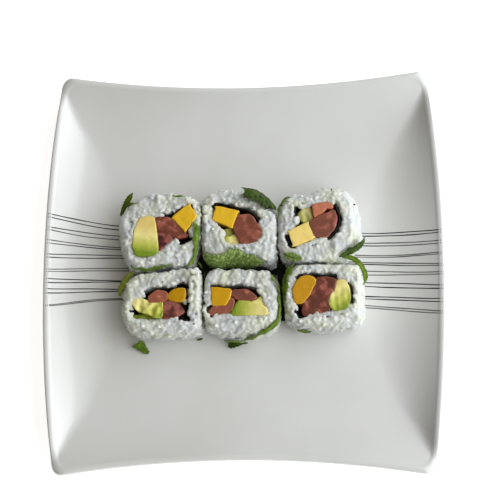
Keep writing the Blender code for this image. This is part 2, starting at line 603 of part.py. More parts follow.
def main():
    clear_scene()
    porcelain = material("white_porcelain", (0.78, 0.77, 0.75), 0.12)
    rice = material("cooked_rice", (0.74, 0.77, 0.78), 0.35)
    seaweed = material("dried_seaweed", (0.010, 0.013, 0.014), 0.45)
    leaf = material("mint_leaf", (0.10, 0.23, 0.03), 0.5)
    fillings = {
        "avocado": material("avocado_flesh", (0.52, 0.60, 0.12), 0.45),
        "tuna": material("raw_tuna", (0.26, 0.06, 0.05), 0.35),
        "mango": material("ripe_mango", (0.83, 0.53, 0.03), 0.35),
    }
    make_plate(porcelain)
    for seed, (name, roll) in enumerate(ROLLS.items(), start=1):
        centre = Vector(roll["centre"])
        roll["rim_curve"] = [centre + point for point in smooth_loop(roll["rim"])]
        wrap_curve = [centre + point for point in smooth_loop(roll["wrap"])]
        roll["middle"] = middle(wrap_curve)
        roll["wrap_ring"] = [reach(wrap_curve, roll["middle"], math.tau * i / WRAP_COLUMNS)
                             for i in range(WRAP_COLUMNS)]
        make_rice(name, roll, rice, seed)
        make_wrap(name, roll, seaweed)
        for filling, corners, above in roll["fillings"]:
            kind = filling.split("_")[0]
            make_filling(name + "_" + filling, roll, corners, above, fillings[kind])
    for name, (roll_name, line, half, lifts, steps, across) in LEAVES_ON_ROLLS.items():
        make_leaf_on_roll(name, roll_name, line, half, lifts, steps, across, leaf)
    for name, (line, wide, halves) in LEAVES_FREE.items():
        make_free_leaf(name, line, wide, halves, leaf)


main()
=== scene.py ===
import math
import random
from functools import lru_cache

import bmesh
import bpy
import numpy as np
from mathutils import Matrix, Vector, noise
from mathutils.bvhtree import BVHTree
from mathutils.geometry import delaunay_2d_cdt
from mathutils.kdtree import KDTree


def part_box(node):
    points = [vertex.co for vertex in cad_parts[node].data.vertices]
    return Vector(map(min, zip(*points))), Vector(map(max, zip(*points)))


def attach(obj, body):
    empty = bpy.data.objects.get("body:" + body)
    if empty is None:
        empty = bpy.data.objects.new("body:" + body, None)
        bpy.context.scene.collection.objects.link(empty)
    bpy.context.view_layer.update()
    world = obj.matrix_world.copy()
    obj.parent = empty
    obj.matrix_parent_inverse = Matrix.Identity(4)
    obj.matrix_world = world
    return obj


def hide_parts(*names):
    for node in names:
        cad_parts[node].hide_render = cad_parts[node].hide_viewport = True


# Six pieces of uramaki roll on a square plate with thin drawn lines, and mint leaves tucked round them.
# Sizes are in millimetres unless a note says otherwise, mm turns them to metres, +Y is the far side.

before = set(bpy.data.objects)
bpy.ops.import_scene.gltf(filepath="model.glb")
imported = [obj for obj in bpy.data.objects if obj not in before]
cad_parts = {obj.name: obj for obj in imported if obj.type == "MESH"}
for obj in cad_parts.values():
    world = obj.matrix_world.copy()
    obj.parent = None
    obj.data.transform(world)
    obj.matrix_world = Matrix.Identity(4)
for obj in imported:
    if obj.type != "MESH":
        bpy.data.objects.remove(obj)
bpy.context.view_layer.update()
mm = 0.001


# Small tools

def linearColour(hexValue):
    channels = [int(hexValue[i:i + 2], 16) / 255 for i in (1, 3, 5)]
    return [c / 12.92 if c <= 0.04045 else ((c + 0.055) / 1.055) ** 2.4 for c in channels] + [1.0]


# Adds a node. A setting is one of the node's own, the value of an input, or the stops of a ramp.
def addNode(tree, kind, settings=None, links=None):
    node = tree.nodes.new(kind)
    for name, value in (settings or {}).items():
        if name == "stops":
            for i, (place, colour) in enumerate(value):
                stop = node.color_ramp.elements[i] if i < 2 else node.color_ramp.elements.new(place)
                stop.position = place
                stop.color = linearColour(colour)
        elif isinstance(name, str) and hasattr(node, name):
            setattr(node, name, value)
        else:
            node.inputs[name].default_value = value
    for name, source in (links or {}).items():
        tree.links.new(source, node.inputs[name])
    return node


def newMaterial(name, shaderSettings):
    made = bpy.data.materials.new(name)
    made.use_nodes = True
    shader = made.node_tree.nodes["Principled BSDF"]
    for setting, value in shaderSettings.items():
        shader.inputs[setting].default_value = value
    return made, made.node_tree, shader


def addObject(name, data):
    thing = bpy.data.objects.new(name, data)
    bpy.context.scene.collection.objects.link(thing)
    return thing


def addPiece(name, mesh, finish, slot, nodes=()):
    mesh.materials.clear()
    mesh.materials.append(finish)
    piece = addObject(name, mesh)
    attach(piece, "root")
    if nodes:
        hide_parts(*nodes)


def meshFrom(corners, faces, name):
    mesh = bpy.data.meshes.new(name)
    mesh.from_pydata([tuple(corner) for corner in corners], [], faces)
    mesh.validate()
    made = bmesh.new()
    made.from_mesh(mesh)
    bmesh.ops.recalc_face_normals(made, faces=made.faces)
    if made.calc_volume(signed=True) < 0:
        bmesh.ops.reverse_faces(made, faces=made.faces)
    made.to_mesh(mesh)
    made.free()
    mesh.shade_smooth()
    return mesh


def meshOf(made, name):
    mesh = bpy.data.meshes.new(name)
    made.to_mesh(mesh)
    made.free()
    mesh.shade_smooth()
    return mesh


# Quads between loops of the same number of points, with the first and the last loop filled
def stackLoops(loops):
    count = len(loops[0])
    corners = [point for loop in loops for point in loop]
    faces = []
    for row in range(len(loops) - 1):
        above = row + 1
        for i in range(count):
            j = (i + 1) % count
            faces.append((row * count + i, row * count + j, above * count + j, above * count + i))
    faces.append(tuple(range(count - 1, -1, -1)))
    faces.append(tuple(range((len(loops) - 1) * count, len(loops) * count)))
    return corners, faces


def addAttribute(mesh, name, values):
    attribute = mesh.attributes.new(name, "FLOAT", "POINT")
    attribute.data.foreach_set("value", np.array(values, np.float32))


# A point on the smooth curve from b to c, where a comes before them and d after
def curveSpot(a, b, c, d, t):
    bend = 2 * b + (c - a) * t + (2 * a - 5 * b + 4 * c - d) * t ** 2
    return (bend + (3 * b - a - 3 * c + d) * t ** 3) / 2


def alongLine(points, share):
    place = share * (len(points) - 1)
    first = min(int(place), len(points) - 2)
    t = place - first
    b, c = Vector(points[first]), Vector(points[first + 1])
    a = Vector(points[first - 1]) if first > 0 else 2 * b - c
    d = Vector(points[first + 2]) if first + 2 < len(points) else 2 * c - b
    return curveSpot(a, b, c, d, t)


def smoothLoop(points, steps):
    count = len(points)
    curve = []
    for i in range(count):
        a, b, c, d = (Vector(points[(i + k) % count]) for k in (-1, 0, 1, 2))
        curve += [curveSpot(a, b, c, d, step / steps) for step in range(steps)]
    return curve


def mix(a, b, share):
    return a + (b - a) * share


def mixPair(a, b, share):
    return mix(a[0], b[0], share), mix(a[1], b[1], share)


def blendOver(low, high, value):  # 0 below low, 1 above high, smooth between
    t = min(1.0, max(0.0, (value - low) / (high - low)))
    return t * t * (3 - 2 * t)


def wayAt(angle):  # in degrees from +X
    return Vector((math.cos(math.radians(angle)), math.sin(math.radians(angle))))


def unevenAt(x, y, size, seed):  # between about -0.5 and 0.5, with swells of the given size
    return noise.noise(Vector((x / size, y / size, seed)))


def nameSeed(name):
    return float(sum(ord(letter) for letter in name))


# A CAD node's own mesh, with the points that its flat shading splits joined again
def nodeMesh(name):
    made = bmesh.new()
    made.from_mesh(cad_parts[name].data)
    bmesh.ops.remove_doubles(made, verts=made.verts, dist=1e-6)
    made.normal_update()
    return made


@lru_cache
def nodeBox(name):
    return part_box(name)


def nodeMiddle(name):
    low, high = nodeBox(name)
    return (low + high) / 2


# Porcelain: slip-cast, white glazed and fired, so a smooth skin with soft clear reflections over a
# slightly warm body, and a surface that waves very gently, 22 mm across, where the glaze has run
def makePorcelain():
    made, tree, shader = newMaterial("glazedPorcelain", {
        "Roughness": 0.16, "IOR": 1.52, "Coat Weight": 0.35, "Coat Roughness": 0.1})
    spots = addNode(tree, "ShaderNodeTexCoord")
    cloud = addNode(tree, "ShaderNodeTexNoise", {"Scale": 1 / (70 * mm), "Detail": 3.0},
                    {"Vector": spots.outputs["Object"]})
    tone = addNode(tree, "ShaderNodeValToRGB", {"stops": [(0.3, "#DCDDD8"), (0.7, "#E5E6E3")]},
                   {"Fac": cloud.outputs["Fac"]})
    tree.links.new(tone.outputs["Color"], shader.inputs["Base Color"])
    ripple = addNode(tree, "ShaderNodeTexNoise", {"Scale": 1 / (22 * mm), "Detail": 1.0},
                     {"Vector": spots.outputs["Object"]})
    bump = addNode(tree, "ShaderNodeBump", {"Strength": 0.35, "Distance": 0.25 * mm},
                   {"Height": ripple.outputs["Fac"]})
    tree.links.new(bump.outputs["Normal"], shader.inputs["Normal"])
    return made


# Ceramic stain: drawn by hand under the glaze, grey where the stroke is thin and nearly black where full
def makeStain():
    made, tree, shader = newMaterial("greyCeramicStain", {
        "Roughness": 0.2, "IOR": 1.52, "Specular IOR Level": 0.25})
    stroke = addNode(tree, "ShaderNodeAttribute", {"attribute_name": "stroke"})
    tone = addNode(tree, "ShaderNodeValToRGB", {"stops": [(0.0, "#A6A6A2"), (1.0, "#060608")]},
                   {"Fac": stroke.outputs["Fac"]})
    tree.links.new(tone.outputs["Color"], shader.inputs["Base Color"])
    return made


# Cooked short-grain rice: steamed and sticky, so each grain is milky, lets light deep into its body and
# has a faint damp shine. Grains 3.4 mm apart are clearer or more chalky, and patches 16 mm across warmer.
def makeRice():
    made, tree, shader = newMaterial("steamedRice", {
        "Roughness": 0.5, "IOR": 1.4, "Subsurface Weight": 1.0, "Subsurface Scale": 4.5 * mm,
        "Subsurface Radius": (0.95, 1.0, 0.98)})
    spots = addNode(tree, "ShaderNodeTexCoord")
    grain = addNode(tree, "ShaderNodeTexVoronoi", {"Scale": 1 / (3.4 * mm), "feature": "SMOOTH_F1"},
                    {"Vector": spots.outputs["Object"]})
    tone = addNode(tree, "ShaderNodeValToRGB", {
        "stops": [(0.0, "#C8CDCF"), (1.0, "#DCDED2"), (0.5, "#D3D6D1")]}, {"Fac": grain.outputs["Color"]})
    patch = addNode(tree, "ShaderNodeTexNoise", {"Scale": 1 / (16 * mm), "Detail": 1.0},
                    {"Vector": spots.outputs["Object"]})
    share = addNode(tree, "ShaderNodeMapRange", {"From Min": 0.45, "From Max": 0.7, "To Max": 0.6},
                    {"Value": patch.outputs["Fac"]})
    patched = addNode(tree, "ShaderNodeMix", {"data_type": "RGBA", 7: linearColour("#D6D9BC")},
                      {0: share.outputs[0], 6: tone.outputs["Color"]})
    tree.links.new(patched.outputs[2], shader.inputs["Base Color"])
    pits = addNode(tree, "ShaderNodeTexNoise", {"Scale": 1 / (1.5 * mm), "Detail": 2.0},
                   {"Vector": spots.outputs["Object"]})
    bump = addNode(tree, "ShaderNodeBump", {"Strength": 0.2, "Distance": 0.12 * mm},
                   {"Height": pits.outputs["Fac"]})
    tree.links.new(bump.outputs["Normal"], shader.inputs["Normal"])
    return made


# Nori: seaweed pressed to paper and toasted, here damp, so nearly black with a dull green cast and a
# crinkle. Its fibres are under 0.1 mm, too fine to show, and are drawn 0.8 mm apart.
def makeNori():
    made, tree, shader = newMaterial("toastedNori", {"Roughness": 0.42, "IOR": 1.45})
    spots = addNode(tree, "ShaderNodeTexCoord")
    fibres = addNode(tree, "ShaderNodeTexNoise", {"Scale": 1 / (0.8 * mm), "Detail": 3.0},
                     {"Vector": spots.outputs["Object"]})
    tone = addNode(tree, "ShaderNodeValToRGB", {"stops": [(0.35, "#070908"), (0.75, "#1B1F18")]},
                   {"Fac": fibres.outputs["Fac"]})
    tree.links.new(tone.outputs["Color"], shader.inputs["Base Color"])
    bump = addNode(tree, "ShaderNodeBump", {"Strength": 0.6, "Distance": 0.2 * mm},
                   {"Height": fibres.outputs["Fac"]})
    tree.links.new(bump.outputs["Normal"], shader.inputs["Normal"])
    return made


# Raw tuna: cut across its muscle, so dark red flesh mottled 4.5 mm across, with thin pale broken lines
# between its bands, a wet skin and edges that go orange where the slice is thin
def makeTuna():
    made, tree, shader = newMaterial("rawTuna", {
        "Roughness": 0.34, "IOR": 1.4, "Subsurface Weight": 0.3, "Subsurface Scale": 1.0 * mm,
        "Subsurface Radius": (1.0, 0.35, 0.2), "Coat Weight": 0.15, "Coat Roughness": 0.2})
    spots = addNode(tree, "ShaderNodeTexCoord")
    across = addNode(tree, "ShaderNodeAttribute", {"attribute_name": "across"})
    edge = addNode(tree, "ShaderNodeAttribute", {"attribute_name": "edge"})
    pale = addNode(tree, "ShaderNodeAttribute", {"attribute_name": "pale"})
    mottle = addNode(tree, "ShaderNodeTexNoise", {
        "Scale": 1 / (4.5 * mm), "Detail": 3.0, "Roughness": 0.4}, {"Vector": spots.outputs["Object"]})
    fine = addNode(tree, "ShaderNodeTexNoise", {"Scale": 1 / (0.8 * mm), "Detail": 2.0},
                   {"Vector": spots.outputs["Object"]})
    flesh = addNode(tree, "ShaderNodeValToRGB", {
        "stops": [(0.36, "#380C0B"), (0.64, "#96564A"), (0.5, "#5A1C18")]}, {"Fac": mottle.outputs["Fac"]})
    paler = addNode(tree, "ShaderNodeMix", {"data_type": "RGBA", 7: linearColour("#D68462")},
                    {0: pale.outputs["Fac"], 6: flesh.outputs["Color"]})
    band = addNode(tree, "ShaderNodeMath", {"operation": "PINGPONG", 1: 0.5}, {0: across.outputs["Fac"]})
    line = addNode(tree, "ShaderNodeMapRange", {
        "From Min": 0.0, "From Max": 0.05, "To Min": 0.85, "To Max": 0.0}, {"Value": band.outputs[0]})
    broken = addNode(tree, "ShaderNodeMapRange", {"From Min": 0.46, "From Max": 0.66},
                     {"Value": mottle.outputs["Fac"]})
    faded = addNode(tree, "ShaderNodeMath", {"operation": "MULTIPLY"},
                    {0: line.outputs[0], 1: broken.outputs[0]})
    lined = addNode(tree, "ShaderNodeMix", {"data_type": "RGBA", 7: linearColour("#D9A08C")},
                    {0: faded.outputs[0], 6: paler.outputs[2]})
    rim = addNode(tree, "ShaderNodeMapRange", {
        "From Min": 0.0, "From Max": 0.9, "To Min": 0.22, "To Max": 0.0}, {"Value": edge.outputs["Fac"]})
    warmed = addNode(tree, "ShaderNodeMix", {"data_type": "RGBA", 7: linearColour("#B0683F")},
                     {0: rim.outputs[0], 6: lined.outputs[2]})
    tree.links.new(warmed.outputs[2], shader.inputs["Base Color"])
    bump = addNode(tree, "ShaderNodeBump", {"Strength": 0.35, "Distance": 0.08 * mm},
                   {"Height": fine.outputs["Fac"]})
    tree.links.new(bump.outputs["Normal"], shader.inputs["Normal"])
    return made


# Ripe avocado: buttery flesh that goes from yellow by the stone to green under the skin, darker olive brown
# where a piece is bruised and, as painted shade, where it lies low in shade, with a dull oily surface that
# the knife has smeared
def makeAvocado():
    made, tree, shader = newMaterial("ripeAvocado", {
        "Roughness": 0.42, "IOR": 1.45, "Subsurface Weight": 0.3, "Subsurface Scale": 0.9 * mm,
        "Subsurface Radius": (1.0, 0.9, 0.3)})
    spots = addNode(tree, "ShaderNodeTexCoord")
    skin = addNode(tree, "ShaderNodeAttribute", {"attribute_name": "skin"})
    mottle = addNode(tree, "ShaderNodeTexNoise", {"Scale": 1 / (2.0 * mm), "Detail": 3.0},
                     {"Vector": spots.outputs["Object"]})
    shift = addNode(tree, "ShaderNodeMath", {"operation": "MULTIPLY_ADD", 1: 0.16}, {
        0: mottle.outputs["Fac"], 2: skin.outputs["Fac"]})
    flesh = addNode(tree, "ShaderNodeValToRGB", {
        "stops": [(0.08, "#EAD07A"), (1.0, "#7E981C"), (0.42, "#F6EA98"), (0.76, "#C4C852")]},
        {"Fac": shift.outputs[0]})
    # darkens the marked pieces toward olive brown: partly bruising, partly painted shade on pieces that lie
    # low in the rolls' shade
    shadeBruiseMix = addNode(tree, "ShaderNodeAttribute", {"attribute_name": "bruiseAndShade"})
    darker = addNode(tree, "ShaderNodeMix", {"data_type": "RGBA", 7: linearColour("#5E5A1C")},
                     {0: shadeBruiseMix.outputs["Fac"], 6: flesh.outputs["Color"]})
    tree.links.new(darker.outputs[2], shader.inputs["Base Color"])
    bump = addNode(tree, "ShaderNodeBump", {"Strength": 0.3, "Distance": 0.06 * mm},
                   {"Height": mottle.outputs["Fac"]})
    tree.links.new(bump.outputs["Normal"], shader.inputs["Normal"])
    return made


# Ripe mango: juicy, so the cut face shines and light goes in a little, with fine fibres 0.7 mm apart
def makeMango():
    made, tree, shader = newMaterial("ripeMango", {
        "Roughness": 0.36, "IOR": 1.38, "Subsurface Weight": 0.35, "Subsurface Scale": 1.2 * mm,
        "Subsurface Radius": (1.0, 0.6, 0.1), "Coat Weight": 0.12, "Coat Roughness": 0.2})
    spots = addNode(tree, "ShaderNodeTexCoord")
    edge = addNode(tree, "ShaderNodeAttribute", {"attribute_name": "edge"})
    pale = addNode(tree, "ShaderNodeAttribute", {"attribute_name": "pale"})
    fibres = addNode(tree, "ShaderNodeTexNoise", {
        "Scale": 1 / (0.7 * mm), "Detail": 3.0, "Distortion": 0.4}, {"Vector": spots.outputs["Object"]})
    # the piece's pale value lightens the flesh; on roll 3's mango it is painted light, paler where the
    # piece faces the light
    shift = addNode(tree, "ShaderNodeMath", {"operation": "MULTIPLY_ADD", 1: 0.3}, {
        0: fibres.outputs["Fac"], 2: pale.outputs["Fac"]})
    flesh = addNode(tree, "ShaderNodeValToRGB", {
        "stops": [(0.1, "#B67C00"), (1.0, "#F8DC80"), (0.62, "#EEBE08")]}, {"Fac": shift.outputs[0]})
    rim = addNode(tree, "ShaderNodeMapRange", {
        "From Min": 0.0, "From Max": 0.6, "To Min": 0.4, "To Max": 0.0}, {"Value": edge.outputs["Fac"]})
    paler = addNode(tree, "ShaderNodeMix", {"data_type": "RGBA", 7: linearColour("#F2D25C")},
                    {0: rim.outputs[0], 6: flesh.outputs["Color"]})
    tree.links.new(paler.outputs[2], shader.inputs["Base Color"])
    bump = addNode(tree, "ShaderNodeBump", {"Strength": 0.3, "Distance": 0.08 * mm},
                   {"Height": fibres.outputs["Fac"]})
    tree.links.new(bump.outputs["Normal"], shader.inputs["Normal"])
    return made


# Mint leaf: fresh, quilted between its veins and softly waxy. The veins are paler than the blade.
def makeMint(name, dark, light, vein):
    made, tree, shader = newMaterial(name, {
        "Roughness": 0.5, "IOR": 1.42, "Specular IOR Level": 0.2, "Subsurface Weight": 0.12,
        "Subsurface Scale": 0.5 * mm, "Subsurface Radius": (0.5, 1.0, 0.2)})
    spots = addNode(tree, "ShaderNodeTexCoord")
    veins = addNode(tree, "ShaderNodeAttribute", {"attribute_name": "vein"})
    mottle = addNode(tree, "ShaderNodeTexNoise", {"Scale": 1 / (3.0 * mm), "Detail": 3.0},
                     {"Vector": spots.outputs["Object"]})
    blade = addNode(tree, "ShaderNodeValToRGB", {"stops": [(0.32, dark), (0.7, light)]},
                    {"Fac": mottle.outputs["Fac"]})
    veined = addNode(tree, "ShaderNodeMix", {"data_type": "RGBA", 7: linearColour(vein)},
                     {0: veins.outputs["Fac"], 6: blade.outputs["Color"]})
    tree.links.new(veined.outputs[2], shader.inputs["Base Color"])
    bump = addNode(tree, "ShaderNodeBump", {"Strength": 0.4, "Distance": 0.1 * mm},
                   {"Height": mottle.outputs["Fac"]})
    tree.links.new(bump.outputs["Normal"], shader.inputs["Normal"])
    return made


# Plate: the left and right sides bow out and curve up as wings, the near and far sides bow in
plate = {
    "sideX": 124.87, "cornerX": 116.28, "sideY": 117.98, "cornerY": 127.67,
    "floor": 7.5, "rise": 12.5, "wall": 4.5, "cornerRound": 0.062,
    # a wing's slope starts at wingStart, and by the corners no nearer the rim than wingLimit
    "wingStart": 0.58, "wingLimit": 0.985, "slopeStart": 0.66, "wingPower": 8, "slopePower": 8.8,
    "riseShape": 0.25, "shareRounds": 6,
    # from the foot's outer side round to its inner one: shares of the plate's size, and height
    "foot": [(0.600, 3.0), (0.596, 0.5), (0.590, 0.0), (0.559, 0.0), (0.555, 0.4), (0.547, 2.2)],
    "topFrom": 0.34, "topGap": 0.004, "underShares": (0.972, 0.64),
    # the lip lies flatter than the slope that it stands on, by lipFollow. From its inner edge over its
    # top: share of the plate's size, and height over what lies under it
    "lipFollow": 0.1,
    "lip": [(0.960, 0.0), (0.965, 0.4), (0.971, 0.78), (0.978, 1.0), (0.986, 1.02), (0.9915, 0.85),
            (0.996, 0.35), (0.999, -0.5), (1.0, -1.4), (0.999, -2.4), (0.994, -3.3), (0.984, -4.1)],
    "sideSteps": 60, "cornerSteps": 9, "topRings": 34, "underRings": 12, "lipSteps": 3,
}


def plateOutline():
    straight = 1 - plate["cornerRound"]
    points = []
    for quarter in range(4):
        turn = Matrix.Rotation(math.radians(90 * quarter), 2)
        side = [(1.0, straight * (2 * i / plate["sideSteps"] - 1)) for i in range(plate["sideSteps"] + 1)]
        for i in range(1, plate["cornerSteps"]):
            bend = math.radians(90 * i / plate["cornerSteps"])
            side.append((straight + plate["cornerRound"] * math.cos(bend),
                         straight + plate["cornerRound"] * math.sin(bend)))
        points += [turn @ Vector(point) for point in side]
    return points


# The glaze's height at shares u and v of the way to the rim: flat, then up as wings at the left and right,
# and up as a slope at the near and far sides
def plateTop(u, v):
    wingStart = min(plate["wingStart"] + (1 - plate["wingStart"]) * v * v, plate["wingLimit"])
    wing = max(0.0, abs(u) - wingStart) / (1 - wingStart)
    slope = max(0.0, abs(v) - plate["slopeStart"]) / (1 - plate["slopeStart"])
    both = wing ** plate["wingPower"] + slope ** plate["slopePower"]
    return plate["floor"] + plate["rise"] * both ** plate["riseShape"]


def lipTop(u, v, share, above):  # u and v are on the outline, share is how near to it
    start = plate["lip"][0][0]
    under = start + (share - start) * plate["lipFollow"]
    return plateTop(u * under, v * under) + above


def platePlan(u, v):  # where those shares are, between sides that bow out and sides that bow in
    x = u * (plate["cornerX"] + (plate["sideX"] - plate["cornerX"]) * (1 - v * v))
    y = v * (plate["cornerY"] - (plate["cornerY"] - plate["sideY"]) * (1 - u * u))
    return x, y


def plateShares(x, y):  # the plate's own two directions at a point, found in a few rounds
    u, v = x / plate["sideX"], y / plate["cornerY"]
    for step in range(plate["shareRounds"]):
        u = x / (plate["cornerX"] + (plate["sideX"] - plate["cornerX"]) * (1 - v * v))
        v = y / (plate["cornerY"] - (plate["cornerY"] - plate["sideY"]) * (1 - u * u))
    return u, v


def makePlate(finish):
    outline = plateOutline()
    loops = []

    def addLoop(share, height):
        loop = []
        for u, v in outline:
            x, y = platePlan(u * share, v * share)
            loop.append(Vector((x, y, height(u, v))) * mm)
        loops.append(loop)

    innerEdge = plate["lip"][0][0]
    footTop = plate["foot"][0][1]
    for i in range(plate["topRings"]):
        share = mix(plate["topFrom"], innerEdge - plate["topGap"], i / (plate["topRings"] - 1))
        addLoop(share, lambda u, v: plateTop(u * share, v * share))
    steps = plate["lipSteps"] * (len(plate["lip"]) - 1)
    for i in range(steps + 1):
        share, above = alongLine(plate["lip"], i / steps)
        addLoop(share, lambda u, v: lipTop(u, v, share, above))
    for i in range(plate["underRings"]):
        share = mix(*plate["underShares"], i / (plate["underRings"] - 1))
        addLoop(share, lambda u, v: max(plateTop(u * share, v * share) - plate["wall"], footTop))
    for share, height in plate["foot"]:
        addLoop(share, lambda u, v: height)
    corners, faces = stackLoops(loops)
    mesh = meshFrom(corners, faces, "plate_glazed")
    addPiece("plate_glazed", mesh, finish, "porcelain", ["plate"])


# The lines drawn over the plate: each is where it is at the left rim, at the left side of the rolls, at
# their right side and at the right rim, with how full its stroke is
lines = {
    "width": 0.78, "paint": 0.035, "above": 0.01, "step": 1.6, "fuller": 0.12,
    "wobble": 0.22, "wobbleLength": 30, "widthLength": 14, "toneLength": 18, "uneven": 0.3,
    "reach": (-123.5, -78.0, 73.6, 123.3),
    "strokes": [
        (36.9, 30.8, 24.0, 23.1, 0.95), (35.0, 28.2, 22.1, 21.4, 0.90),
        (28.5, 24.0, 17.6, 16.3, 0.75), (26.6, 21.7, 16.0, 14.6, 0.70),
        (20.2, 16.8, 9.7, 9.0, 0.65), (17.7, 15.7, 8.7, 7.7, 0.75),
        (10.7, 11.6, 5.4, 1.6, 0.75), (8.7, 9.7, 4.1, 0.5, 0.85),
        (1.1, 3.4, -0.4, -3.5, 0.45), (-0.5, 2.0, -2.4, -4.8, 0.45),
        (-4.8, -4.5, -7.2, -11.8, 1.00), (-7.6, -5.3, -9.9, -13.8, 0.90),
        (-11.4, -10.1, -16.3, -20.0, 1.00), (-14.1, -11.4, -17.4, -22.2, 1.00),
        (-21.7, -15.8, -21.8, -28.1, 0.55), (-22.3, -17.0, -23.1, -29.4, 0.45),
    ],
}


def lineHeight(x, y):
    u, v = plateShares(x, y)
    share = max(abs(u), abs(v))
    for (a, low), (b, high) in zip(plate["lip"], plate["lip"][1:]):
        if a <= share <= b:
            return lipTop(u / share, v / share, share, mix(low, high, (share - a) / (b - a)))
    return plateTop(u, v)


def makeLines(finish):
    corners, faces, strokes = [], [], []
    half = lines["width"] / 2
    for number, (*places, full) in enumerate(lines["strokes"]):
        guide = [Vector((x, y)) for x, y in zip(lines["reach"], places)]
        guide.insert(2, guide[1].lerp(guide[2], 0.5))  # straight under the rolls
        full += lines["fuller"]
        count = int((guide[-1].x - guide[0].x) / lines["step"])
        first = len(corners)
        for i in range(count + 1):
            spot = alongLine(guide, i / count)
            sway = noise.noise(Vector((spot.x / lines["wobbleLength"], number * 7.3, 0))) * 2
            y = spot.y + lines["wobble"] * sway
            thick = noise.noise(Vector((spot.x / lines["widthLength"], number * 3.1, 5)))
            tone = noise.noise(Vector((spot.x / lines["toneLength"], number * 5.7, 9)))
            width = half * (1 - lines["uneven"] / 2 + lines["uneven"] * thick)
            for side, above in ((-1, 0.0), (-1, 1.0), (1, 1.0), (1, 0.0)):
                place = y + side * width
                height = lineHeight(spot.x, place) + lines["above"] + above * lines["paint"]
                corners.append(Vector((spot.x, place, height)) * mm)
                strokes.append(full * (1 - lines["uneven"] / 2 + lines["uneven"] * tone))
        for i in range(count):  # a stroke has four long sides and two ends
            a = first + 4 * i
            for k in range(4):
                n = (k + 1) % 4
                faces.append((a + k, a + n, a + 4 + n, a + 4 + k))
        faces.append((first + 3, first + 2, first + 1, first))
        last = first + 4 * count
        faces.append((last, last + 1, last + 2, last + 3))
    mesh = meshFrom(corners, faces, "plate_lines")
    addAttribute(mesh, "stroke", strokes)
    addPiece("plate_lines", mesh, finish, "porcelain")


# Rice: real grains fused to a core of the solid's form, for each roll
rice = {
    "grainLength": (3.6, 5.2), "grainWidth": (2.3, 2.9),  # partly sunk, so shorter than a loose grain
    "grainSlim": 0.22, "grainBend": 0.14, "grainHeight": 0.46,  # blunt at its ends, bent, and rather flat
    "spacing": 1.9, "lean": 22, "sinkTop": (0.85, 1.35), "sinkSide": (0.5, 1.5),
    "triesPerSpot": 7,  # places tried for each that is free
    "coreEdge": 2.2, "coreCuts": 2, "coreRounds": 14, "coreInset": 0.4, "smoothIn": 0.5, "smoothOut": -0.53,
    "swell": 0.6, "swellScale": 5.5,  # the mass goes in and out by this
    "innerDepth": 3.5,  # how far down the inside has grains, below that it lies against the seaweed
    "underHeight": 0.6, "underNormal": -0.6, "insideNormal": -0.3,  # what counts as underside and inside
    "voxel": 0.34, "soften": 8, "softenBy": 0.5, "keep": 0.5,  # fused in cells, smoothed, then thinned
    # grains lie over the seaweed's edge, rimGap apart, in two rows: how far in, and how deep under the top.
    # Between the bare angles round each roll there are none and the seaweed shows.
    "rimGap": 2.1, "rimTurn": 55, "rimRows": [((-0.9, 0.1), (0.9, 1.4)), ((0.1, 1.0), (1.3, 2.4))],
    "bare": {
        "roll_1": [(38, 98), (-36, -10)], "roll_2": [(5, 148)],
        "roll_3": [(-52, 48), (128, 158), (203, 238)],
        "roll_4": [(30, 155), (-42, -12)], "roll_5": [(25, 155), (186, 214)],
        "roll_6": [(45, 150), (205, 238), (-18, 30)],
    },
    # loose grains on the rolls: place, height, the way it points, how steep it lies, length
    "loose": {
        "roll_4": [
            (-33.2, -5.6, 33.0, 40, 10, 5.4), (-29.8, -4.8, 33.8, 150, 5, 5.2),
            (-26.8, -7.6, 33.7, 70, 10, 5.4), (-30.2, -9.0, 34.0, 30, 10, 5.6),
            (-27.4, -11.6, 33.9, 120, 5, 5.4), (-30.6, -13.2, 33.9, 95, 10, 5.6),
            (-27.0, -15.8, 33.7, 55, 5, 5.2), (-30.0, -17.6, 33.9, 140, 10, 5.4),
            (-27.2, -20.2, 33.6, 85, 5, 5.6), (-30.8, -21.8, 33.8, 60, 10, 5.8),
            (-27.6, -24.6, 33.5, 115, 10, 5.2), (-30.4, -26.2, 33.5, 68, 15, 5.8),
            (-28.2, -28.8, 33.1, 45, 10, 5.4), (-31.4, -29.8, 32.7, 75, 10, 5.6),
            (-29.6, -32.4, 32.2, 60, 10, 5.0), (-34.4, -22.8, 31.4, 110, 25, 5.0),
            (-34.8, -19.0, 31.0, 70, 20, 4.6)],
        "roll_1": [(-26.6, 27.6, 32.6, 85, 10, 6.0), (-29.6, 12.4, 32.4, 70, 10, 6.4)],
        "roll_2": [(-22.6, 34.4, 33.0, 80, 10, 6.4), (-22.4, 28.2, 33.2, 100, 5, 6.2),
                   (-21.2, 22.6, 33.2, 80, 5, 6.2)],
        "roll_6": [(32.0, -33.4, 31.6, 75, 20, 6.4), (30.4, -25.4, 32.2, 80, 10, 6.2)],
    },
    "looseWidth": 3.3, "looseUp": Vector((0.1, 0.1, 1.0)),
}
rollNames = ["roll_%d" % number for number in range(1, 7)]


def grainTemplate():
    made = bmesh.new()
    bmesh.ops.create_icosphere(made, subdivisions=2, radius=1.0)
    corners = np.array([corner.co for corner in made.verts])
    faces = np.array([[corner.index for corner in face.verts] for face in made.faces])
    made.free()
    slim = 1 - rice["grainSlim"] * corners[:, 0] ** 2
    corners[:, 1] *= slim
    corners[:, 2] *= slim
    corners[:, 1] += rice["grainBend"] * corners[:, 0] ** 2
    return corners, faces


def placeGrain(template, middle, along, up, length, width):  # the template's corners, turned and placed
    along = along.normalized()
    across = up.cross(along).normalized()
    up = along.cross(across)
    turn = np.array([along * length / 2, across * width / 2, up * width * rice["grainHeight"]])
    return template @ turn + np.array(middle)


def riceSwell(spot):  # how far the mass stands out there
    return noise.noise(spot / (rice["swellScale"] * mm)) * 2 * rice["swell"] * mm


